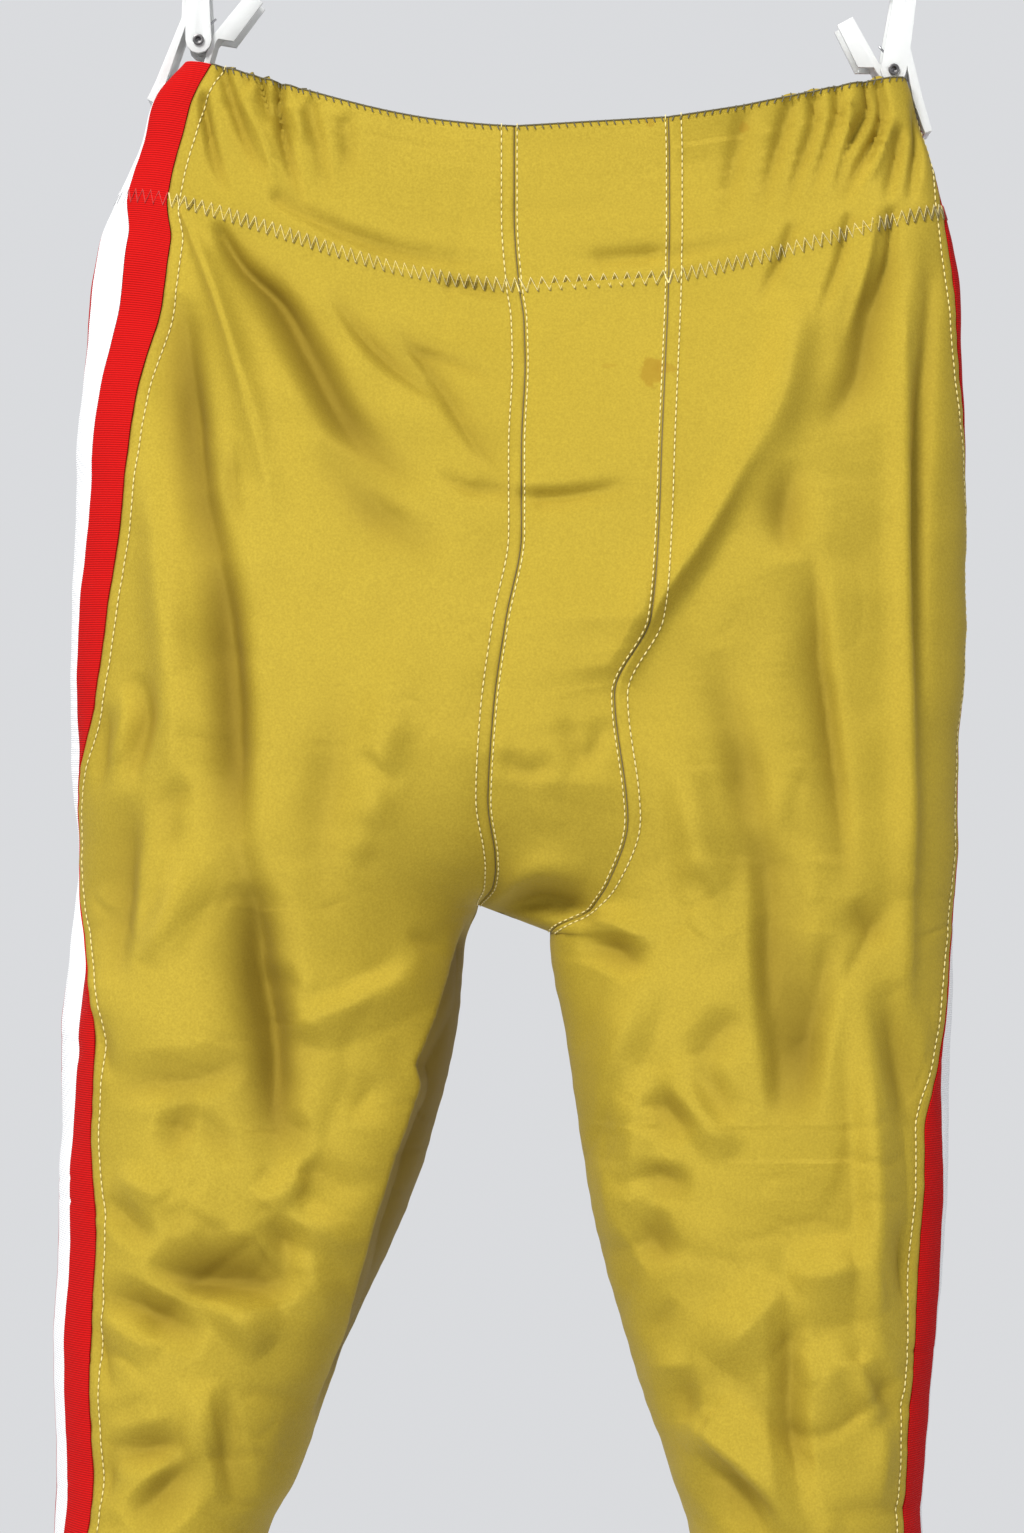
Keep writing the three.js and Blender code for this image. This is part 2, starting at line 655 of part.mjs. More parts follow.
// Clips: the pin's place, the arm's middle at the bar, the handle's end from the pin and the
// heights between which the jaws grip
const CLIPS = [
  {
    name: 'left',
    half: LEFT,
    dir: -1,
    pin: [-144.9, -134.7],
    top: -146.3,
    handle: [22, 20],
    jaw: [-153, -160],
  },
  {
    name: 'right',
    half: RIGHT,
    dir: 1,
    pin: [145.3, -147.1],
    top: 152.5,
    handle: [-18, 22],
    jaw: [-159, -173],
  },
];
const BAR_SLOPE = (CLIPS[1].pin[1] - CLIPS[0].pin[1]) / (CLIPS[1].pin[0] - CLIPS[0].pin[0]);
const barMiddle = (x) => BAR_TOP - BAR_HEIGHT / 2 + BAR_SLOPE * x;

// Point beside the waistband's side wall, at a distance from its outer face
function besideCloth(clip, z, distance) {
  const slope = (clip.half.side(z + 1) - clip.half.side(z - 1)) / 2;
  const stretch = Math.sqrt(1 + slope * slope);
  return new THREE.Vector2(clip.half.side(z) + clip.dir * distance * stretch, z);
}

function clipArm(clip) {
  const pin = new THREE.Vector2(...clip.pin);
  const outer = clip.top + clip.dir * (ARM_HALF - CLIP_WALL / 2);
  const web = bandShape([
    new THREE.Vector2(outer, barMiddle(outer)),
    new THREE.Vector2(pin.x + clip.dir * WEB_OFFSET, pin.y + WEB_BEND),
    besideCloth(clip, clip.jaw[0], SEAM_GAP + JAW_WIDTHS[2] / 2),
    besideCloth(clip, clip.jaw[1], SEAM_GAP + JAW_WIDTHS[3] / 2),
  ], JAW_WIDTHS);
  const ear = new THREE.Shape([
    new THREE.Vector2(pin.x - EAR_RADIUS, pin.y),
    new THREE.Vector2(pin.x + EAR_RADIUS, pin.y),
    new THREE.Vector2(clip.top + ARM_HALF, barMiddle(clip.top)),
    new THREE.Vector2(clip.top - ARM_HALF, barMiddle(clip.top)),
  ]);
  const half = CLIP_WIDTH / 2;
  const solids = [plate(web, -half, CLIP_WIDTH)];
  for (const y of [-half, half - EAR_WALL]) {
    solids.push(plate(ear, y, EAR_WALL));
    solids.push(plate(discShape(pin, EAR_RADIUS), y, EAR_WALL));
  }
  return joinSolids(solids).subtract(plate(discShape(pin, PIN_HOLE), -half - 1, CLIP_WIDTH + 2));
}

function addLever(clip) {
  const pin = new THREE.Vector2(...clip.pin);
  const inside = -BAND_WALL - SEAM_GAP - CLIP_WALL / 2;
  const end = pin.clone().add(new THREE.Vector2(...clip.handle));
  const elbow = new THREE.Vector2(pin.x - clip.dir * ELBOW[0], pin.y + ELBOW[1]);
  const knee = new THREE.Vector2(pin.x - clip.dir * KNEE[0], clip.jaw[0] + KNEE[1]);
  const jaw = clip.jaw.map((z) => besideCloth(clip, z, inside));
  const line = [end, elbow, knee, ...jaw];
  const shank = bandShape(line, line.map(() => CLIP_WALL));
  const along = end.clone().sub(elbow).normalize();
  const away = new THREE.Vector2(along.y, -along.x).multiplyScalar(-clip.dir);
  const flange = new THREE.Shape([
    elbow.clone().addScaledVector(along, HANDLE_STARTS[0]),
    end,
    end.clone().addScaledVector(away, HANDLE_END_WIDTH),
    elbow.clone().addScaledVector(along, HANDLE_STARTS[1]).addScaledVector(away, HANDLE_WIDTH),
  ]);
  const room = CLIP_WIDTH / 2 - EAR_WALL - SEAM_GAP;
  const solids = [plate(shank, -room, 2 * room)];
  const ear = bandShape([pin, elbow], [2 * LEVER_EAR, LEVER_EAR]);
  for (const y of [-room, room - EAR_WALL]) {
    solids.push(plate(discShape(pin, LEVER_EAR), y, EAR_WALL));
    solids.push(plate(ear, y, EAR_WALL));
  }
  for (const y of [-room, room - HANDLE_WALL]) {
    solids.push(plate(flange, y, HANDLE_WALL));
  }
  const inner = room - EAR_WALL;
  const clear = plate(discShape(pin, SPRING_RADIUS + SPRING_WIRE + SEAM_GAP), -inner, 2 * inner);
  const bore = plate(discShape(pin, PIN_HOLE), -CLIP_WIDTH, 2 * CLIP_WIDTH);
  const lever = joinSolids(solids).subtract(clear).subtract(bore);
  addMesh(`clip_${clip.name}_lever`, toGeometry(lever), PLASTIC);
}

// Hollow rivet through the ears
function addPin(clip) {
  const half = CLIP_WIDTH / 2 + SEAM_GAP;
  const end = half + PIN_HEAD_DEPTH;
  const floor = end - PIN_BORE_DEPTH;
  const profile = [
    [0, -floor],
    [PIN_BORE, -floor],
    [PIN_BORE, -end],
    [PIN_HEAD, -end],
    [PIN_HEAD, -half],
    [PIN_RADIUS, -half],
    [PIN_RADIUS, half],
    [PIN_HEAD, half],
    [PIN_HEAD, end],
    [PIN_BORE, end],
    [PIN_BORE, floor],
    [0, floor],
  ].map(([radius, y]) => new THREE.Vector2(radius, y));
  const geometry = new THREE.LatheGeometry(profile, 10);
  geometry.translate(clip.pin[0], 0, clip.pin[1]);
  addMesh(`clip_${clip.name}_pin`, toGeometry(toSolid(geometry)), STEEL);
}

// Coil round the pin, with a leg along the handle
function addSpring(clip) {
  const steps = 26;
  const [x, z] = clip.pin;
  const handle = new THREE.Vector2(...clip.handle).normalize();
  const start = Math.atan2(handle.y, handle.x) - (clip.dir * Math.PI) / 2;
  const coil = evenShares(steps).map((share) => {
    const turn = start - clip.dir * share * SPRING_TURNS * 2 * Math.PI;
    return new THREE.Vector3(
      x + SPRING_RADIUS * Math.cos(turn),
      THREE.MathUtils.lerp(-SPRING_SPREAD, SPRING_SPREAD, share),
      z + SPRING_RADIUS * Math.sin(turn),
    );
  });
  const leg = [1, 0.5].map((share) => {
    const reach = share * SPRING_LEG;
    return coil[0].clone().add(new THREE.Vector3(handle.x * reach, 0, handle.y * reach));
  });
  const geometry = new THREE.ExtrudeGeometry(discShape(new THREE.Vector2(), SPRING_WIRE), {
    steps: 36,
    extrudePath: new THREE.CatmullRomCurve3([...leg, ...coil]),
    curveSegments: 3,
    bevelEnabled: false,
  });
  addMesh(`clip_${clip.name}_spring`, toGeometry(toSolid(geometry)), STEEL);
}

function barSolid() {
  const round = BAR_ROUND;
  const w = BAR_DEPTH / 2 - round;
  const h = BAR_HEIGHT / 2 - round;
  const quarter = Math.PI / 2;
  const section = new THREE.Shape();
  section.moveTo(-w, -h - round);
  section.absarc(w, -h, round, -quarter, 0, false);
  section.absarc(w, h, round, 0, quarter, false);
  section.absarc(-w, h, round, quarter, 2 * quarter, false);
  section.absarc(-w, -h, round, 2 * quarter, 3 * quarter, false);
  const reach = CLIPS[1].top + ARM_HALF + BAR_PAST_ARM;
  const bar = new THREE.ExtrudeGeometry(section, {
    depth: 2 * reach,
    bevelEnabled: false,
    curveSegments: 3,
  });
  bar.translate(0, 0, -reach);
  bar.rotateX(quarter);
  bar.rotateZ(quarter);
  bar.rotateY(-Math.atan(BAR_SLOPE));
  bar.translate(0, 0, barMiddle(0));
  return toSolid(bar);
}

function uprightCylinder(topRadius, bottomRadius, height, middle, sides) {
  const geometry = new THREE.CylinderGeometry(topRadius, bottomRadius, height, sides);
  geometry.rotateX(Math.PI / 2);
  geometry.translate(0, 0, middle);
  return toSolid(geometry);
}

function addHanger() {
  const bossTop = BAR_TOP - BOSS_SUNK + BOSS_HEIGHT;
  const socketFloor = bossTop - SOCKET_DEPTH;
  const hole = HOOK_WIRE + SEAM_GAP;
  const boss = uprightCylinder(
    BOSS_RADIUS - BOSS_TAPER,
    BOSS_RADIUS,
    BOSS_HEIGHT,
    bossTop - BOSS_HEIGHT / 2,
    20,
  );
  const socket = uprightCylinder(hole, hole, SOCKET_DEPTH + 1, socketFloor + (SOCKET_DEPTH + 1) / 2, 12);
  const frame = joinSolids([barSolid(), boss, ...CLIPS.map(clipArm)]);
  addMesh('hanger_frame', toGeometry(frame.subtract(socket)), PLASTIC);

  const centre = -HOOK_RADIUS + HOOK_WIRE;
  const points = [
    new THREE.Vector3(0, 0, socketFloor + SEAM_GAP),
    ...HOOK_SHANK.map(([x, z]) => new THREE.Vector3(x, 0, z)),
  ];
  for (let degrees = HOOK_TURN.from; degrees <= HOOK_TURN.to; degrees += HOOK_TURN.step) {
    const turn = THREE.MathUtils.degToRad(degrees);
    points.push(new THREE.Vector3(
      HOOK_RADIUS * Math.cos(turn),
      0,
      centre + HOOK_RADIUS * Math.sin(turn),
    ));
  }
  const hook = new THREE.ExtrudeGeometry(discShape(new THREE.Vector2(), HOOK_WIRE), {
    steps: 30,
    extrudePath: new THREE.CatmullRomCurve3(points),
    curveSegments: 4,
    bevelEnabled: false,
  });
  addMesh('hanger_hook', toGeometry(toSolid(hook)), STEEL);
}

addHanger();
for (const clip of CLIPS) {
  addLever(clip);
  addPin(clip);
  addSpring(clip);
}

export default garment;
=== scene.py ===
"""Gold football pants with ribbed side stripes on a clip hanger: cloth, sewing, hanger and light.

Metres in the scene, millimetres in the tables. +Z up, the front faces -Y, left means -X.
"""

import math

import bpy
import numpy as np
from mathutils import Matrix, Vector


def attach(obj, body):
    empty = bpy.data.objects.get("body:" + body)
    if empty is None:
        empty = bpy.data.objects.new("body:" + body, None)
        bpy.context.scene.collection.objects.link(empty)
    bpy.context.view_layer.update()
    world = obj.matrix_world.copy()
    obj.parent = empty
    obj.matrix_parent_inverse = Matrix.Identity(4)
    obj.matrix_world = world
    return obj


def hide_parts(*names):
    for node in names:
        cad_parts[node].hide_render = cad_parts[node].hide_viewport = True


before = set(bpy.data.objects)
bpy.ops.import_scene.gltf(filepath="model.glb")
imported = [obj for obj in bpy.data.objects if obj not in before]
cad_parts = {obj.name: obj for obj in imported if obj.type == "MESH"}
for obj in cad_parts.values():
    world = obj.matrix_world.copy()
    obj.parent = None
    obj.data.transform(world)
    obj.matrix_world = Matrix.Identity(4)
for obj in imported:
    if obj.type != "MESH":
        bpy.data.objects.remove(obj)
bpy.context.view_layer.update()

MM = 0.001

# Cloth sizes, millimetres
STRIPE_WIDTH = 19.0
SEAM_GAP = 0.3
WAIST_MIDDLE = -6.0
WAIST_SAG_POWER = 1.4
ZIGZAG_SAG_POWER = {"left": 1.9, "right": 1.4}
CROTCH_ARCH = 150.0
GUSSET_TIP = 1.0
PANEL_BULGE = 1.5
PANEL_WALL = 0.8
BAND_WALL = 2.4

# Mesh steps, millimetres
FINE_STEP = 0.9
COLUMN_STEP = 1.8
BACK_STEP = 3.2
BAND_STEP = 1.6
BAND_ROW_STEP = 1.8
TANGENT_STEP = 0.6
SEAM_ALLOWANCE = 10.0
ROW_STEP = 1.9
HEM_ROW_STEP = 4.0
PICTURE_BOTTOM = -762.0

# Mesh counts: points round half a section, rows of the crotch's arch, rows measured from an edge
RING_STEPS = 160
ARCH_STEPS = 26
ACROSS_ROWS = 12

# Sewing, millimetres
ROW_DISTANCE = 5.2
PANEL_ROW_DISTANCE = 1.3
STITCH_SPACING = 2.9
STITCH_LENGTH = 2.3
THREAD = 0.62
THREAD_LIFT = 0.16
SHADE_LIFT = -0.05
ZIGZAG_THREAD = 0.7
ZIGZAG_HALF_HEIGHT = 2.7
ZIGZAG_PERIOD = 3.9
ZIGZAG_PANEL_PERIOD = 5.0
EDGE_SPACING = 3.3
EDGE_THREAD = 0.6
ZIGZAG_SHADOW = 0.55
STITCH_GROOVE = 0.4
CENTRE_SEAM = 0.6
CENTRE_SEAM_DEPTH = -0.15
ROOM_FOR_ROWS = 12
SEAM_FOLD = 1.25
SEAM_FOLD_DEPTH = -0.5
CENTRE_PANEL_WIDTH = 64
EDGE_FIRST = 1.5
EDGE_OUT = 0.25
EDGE_SLANT = 0.7
EDGE_DROP = 1.7

# Weave and ribs, metres
WARP_SPACING = 0.00042
WEFT_SPACING = 0.00055
RIB_SPACING = 0.00094

# Creases: strength, strength per millimetre of width, length for full strength and rounding of
# crests in millimetres, and the share of its rise a gather starts with
CREASE_STRENGTH = 1.5
CREASE_STRENGTH_PER_WIDTH = 0.06
FULL_CREASE_LENGTH = 32.0
CREST_ROUNDING = 1.2
GATHER_START = 0.3

# Uneven swells and crumples, millimetres: height or depth, size, seed
SWELLS = ((1.1, 60, 3), (0.5, 24, 5))
LARGE_CRUMPLE = (1.6, 80, 21)
SMALL_CRUMPLE = (0.9, 38, 22)
BACK_CRUMPLE = (1.6, 80, 31)
CENTRE_SWELL = (0.3, 30, 3)

# Share of the crumples left at the hips; below a height they grow over a length, millimetres
HIP_CRUMPLED = 0.3
CRUMPLED_FROM = -380
CRUMPLED_FADE = 180

# Noise: how near to zero it makes a crumple, and the number of waves in it
CRUMPLE_WIDTH = 0.07
NOISE_WAVES = 7

# Rise of the left waistband's top, softened rows at the crotch, flat edge of the centre panel
# and start of the back creases under the zigzag, millimetres
BAND_RISE = 7.0
BAND_RISE_X = -122
BAND_RISE_SPREAD = 22
CROTCH_SPREAD = 40
CROTCH_BLUR = 16
CROTCH_EDGE = 30
CENTRE_EDGE = 8
BACK_FADE = 12

# Side of the left leg that turns away, millimetres
TURNED_DROP = 4.0
TURNED_SPREAD = 9
TURNED_EDGE = 12
TURNED_TOP = -500
TURNED_LOW = -716
TURNED_TOP_FADE = 14
TURNED_LOW_FADE = 30
TURNED_SHARPNESS = 0.5

# Gathers behind, dips and puckers at the sewing, millimetres
BACK_GATHER_HEIGHT = 1.8
BACK_GATHER_WIDTH = 2.9
SEAM_DIP = 0.5
ROW_DIP = 0.3
ZIGZAG_DIP = 0.15
ZIGZAG_PUFF = 0.3
SEAM_PUCKER = 0.3
ZIGZAG_PUCKER = 0.35

# Painted shade of troughs, the turned-away side, sewing and zigzag, 0 to 1; a trough is darkest from a
# full depth in millimetres
TROUGH_SHADE = 0.62
FULL_TROUGH = 9
TURNED_SHADE = 0.72
SEAM_SHADE = 0.55
ROW_SHADE = 0.25
CENTRE_SHADE = 0.35
FULL_CENTRE_TROUGH = 7
ZIGZAG_SHADE = 0.12

# Viewing distance, millimetres; creases are placed where they are seen from there
VIEW_DISTANCE = 1600.0
VIEW_X = -14.0
VIEW_Z = -438.0

# Sections of each half, from the waist to the hem, as in the solid model
COLUMNS = (
    "z", "side", "front", "back", "fore", "aft", "fold", "square", "sag", "seam", "red", "tuck",
)
LEFT_ROWS = (
    (-145, -150.5, -13, -19, 27, 27, 0, 7, 28.5, 31, 18.5, 0),
    (-160, -163, -13, -19, 26, 27, 0, 6, 32, 33, 18.5, 0),
    (-175, -168, -13, -19, 27, 28, 0, 5, 35, 33, 18, 0),
    (-200.5, -179.5, -11, -19, 31, 32, 1, 3.6, 39, 38, 19, 0),
    (-217, -186.5, -9, -19, 34, 35, 2, 3, 37, 46, 19, 0),
    (-242, -191, -8.5, -19, 40, 42, 3, 2.5, 31, 47, 19, 0),
    (-284, -195, -10, -19, 50, 52, 4, 2.3, 24, 43, 19, 0),
    (-326, -198, -10, -18, 55, 58, 5, 2.3, 17, 43, 19, 0),
    (-368, -199, -16.5, -17, 57, 61, 6, 2.3, 11, 39, 19, 0),
    (-410, -200, -21.5, -16, 57, 61, 7, 2.3, 6, 34, 17, 1),
    (-450, -198.5, -23.5, -20, 55, 58, 8, 2.3, 2, 20, 10, 5),
    (-477, -197, -20.5, -25, 53, 56, 9, 2.3, 0, 15, 9, 6),
    (-488, -197.5, -22.5, -27, 52, 55, 9, 2.2, 0, 16, 9, 6),
    (-496.4, -198, -28, -28, 52, 55, 9, 2.2, 0, 20, 10, 5),
    (-511, -200, -33.5, -33.5, 52, 54, 9, 2.2, 0, 30, 9, 5),
    (-553, -204, -37.5, -37.5, 52, 54, 9, 2.2, 0, 45, 14, 2),
    (-588, -204, -46, -46, 52, 53, 9, 2.2, 0, 44, 16, 1),
    (-628, -205, -60, -60, 51, 53, 8, 2.2, 0, 49, 19, 0),
    (-680, -207, -84, -84, 51, 52, 8, 2.2, 0, 51, 19, 0),
    (-735, -206, -104, -104, 51, 52, 7, 2.2, 0, 53, 19, 0),
    (-762, -206.5, -117, -117, 51, 52, 6, 2.1, 0, 51, 19, 0),
    (-810, -206.5, -124, -124, 50, 52, 5, 2.1, 0, 48, 19, 0),
    (-920, -204, -121, -121, 46, 48, 4, 2, 0, 44, 19, 0),
)
RIGHT_ROWS = (
    (-152, 150, 50.5, -19, 27, 27, 0, 7, 21.5, 3, 19, 0),
    (-167, 156, 51, -19, 26, 27, -1, 6, 25, 3, 19, 0),
    (-183, 161, 51, -19, 27, 28, -2, 5, 30, 6, 19, 0),
    (-207, 167, 50.5, -19, 31, 32, -3, 3.6, 34, 12, 19, 0),
    (-221, 171, 50, -19, 34, 35, -4, 3, 33, 13, 19, 0),
    (-242, 173.5, 49, -19, 40, 42, -5, 2.5, 29, 12, 19, 0),
    (-284, 174.5, 47, -19, 50, 52, -6, 2.3, 23, 9, 19, 0),
    (-326, 175.2, 45.5, -18, 55, 58, -7, 2.3, 16.5, 3, 19, 0),
    (-368, 175.5, 42, -17, 57, 61, -8, 2.3, 10.5, 0, 18, 0),
    (-403, 174.5, 27.5, -15, 57, 61, -8, 2.3, 6, 3, 14, 2),
    (-458, 172, 33, -9, 55, 58, -8, 2.3, 2, 9, 10, 5),
    (-484, 172.3, 26, -2, 53, 56, -8, 2.3, 0, 11, 9, 6),
    (-496, 172, 18, 0, 52, 55, -8, 2.2, 0, 12, 9, 6),
    (-507.4, 171.5, 2, 2, 52, 55, -8, 2.2, 0, 13, 9, 6),
    (-522, 171, 3, 3, 52, 54, -8, 2.2, 0, 15, 10, 6),
    (-556, 169.5, 9.5, 9.5, 52, 54, -8, 2.2, 0, 20, 12, 4),
    (-592, 168.5, 14.5, 14.5, 52, 53, -8, 2.2, 0, 30, 15, 1),
    (-632, 166.8, 21.5, 21.5, 51, 53, -8, 2.2, 0, 30, 16, 0),
    (-680, 163, 35, 35, 51, 52, -7, 2.2, 0, 30, 19, 0),
    (-720, 159.5, 48, 48, 51, 52, -6, 2.2, 0, 31, 19, 0),
    (-760, 158.3, 61, 61, 51, 52, -5, 2.1, 0, 32, 19, 0),
    (-810, 157.5, 67, 67, 50, 52, -4, 2.1, 0, 31, 19, 0),
    (-920, 157, 70, 70, 46, 48, -3, 2, 0, 30, 19, 0),
)
ZIGZAG_ROW = 3
TIP_ROW = 8.9
ARCH_ROW = 9.8
CROTCH_ROW = 13
ARCH_START = 66.0

# Edge of the left leg's front, as seen; behind it the cloth turns away
LEG_EDGE = (
    (-34, -506), (-42, -528), (-48, -543), (-54, -556), (-57.5, -563), (-56, -572), (-61, -585),
    (-66, -598), (-70, -611), (-75, -625), (-79, -642), (-84, -665), (-86, -680), (-91, -695),
    (-96, -708),
)

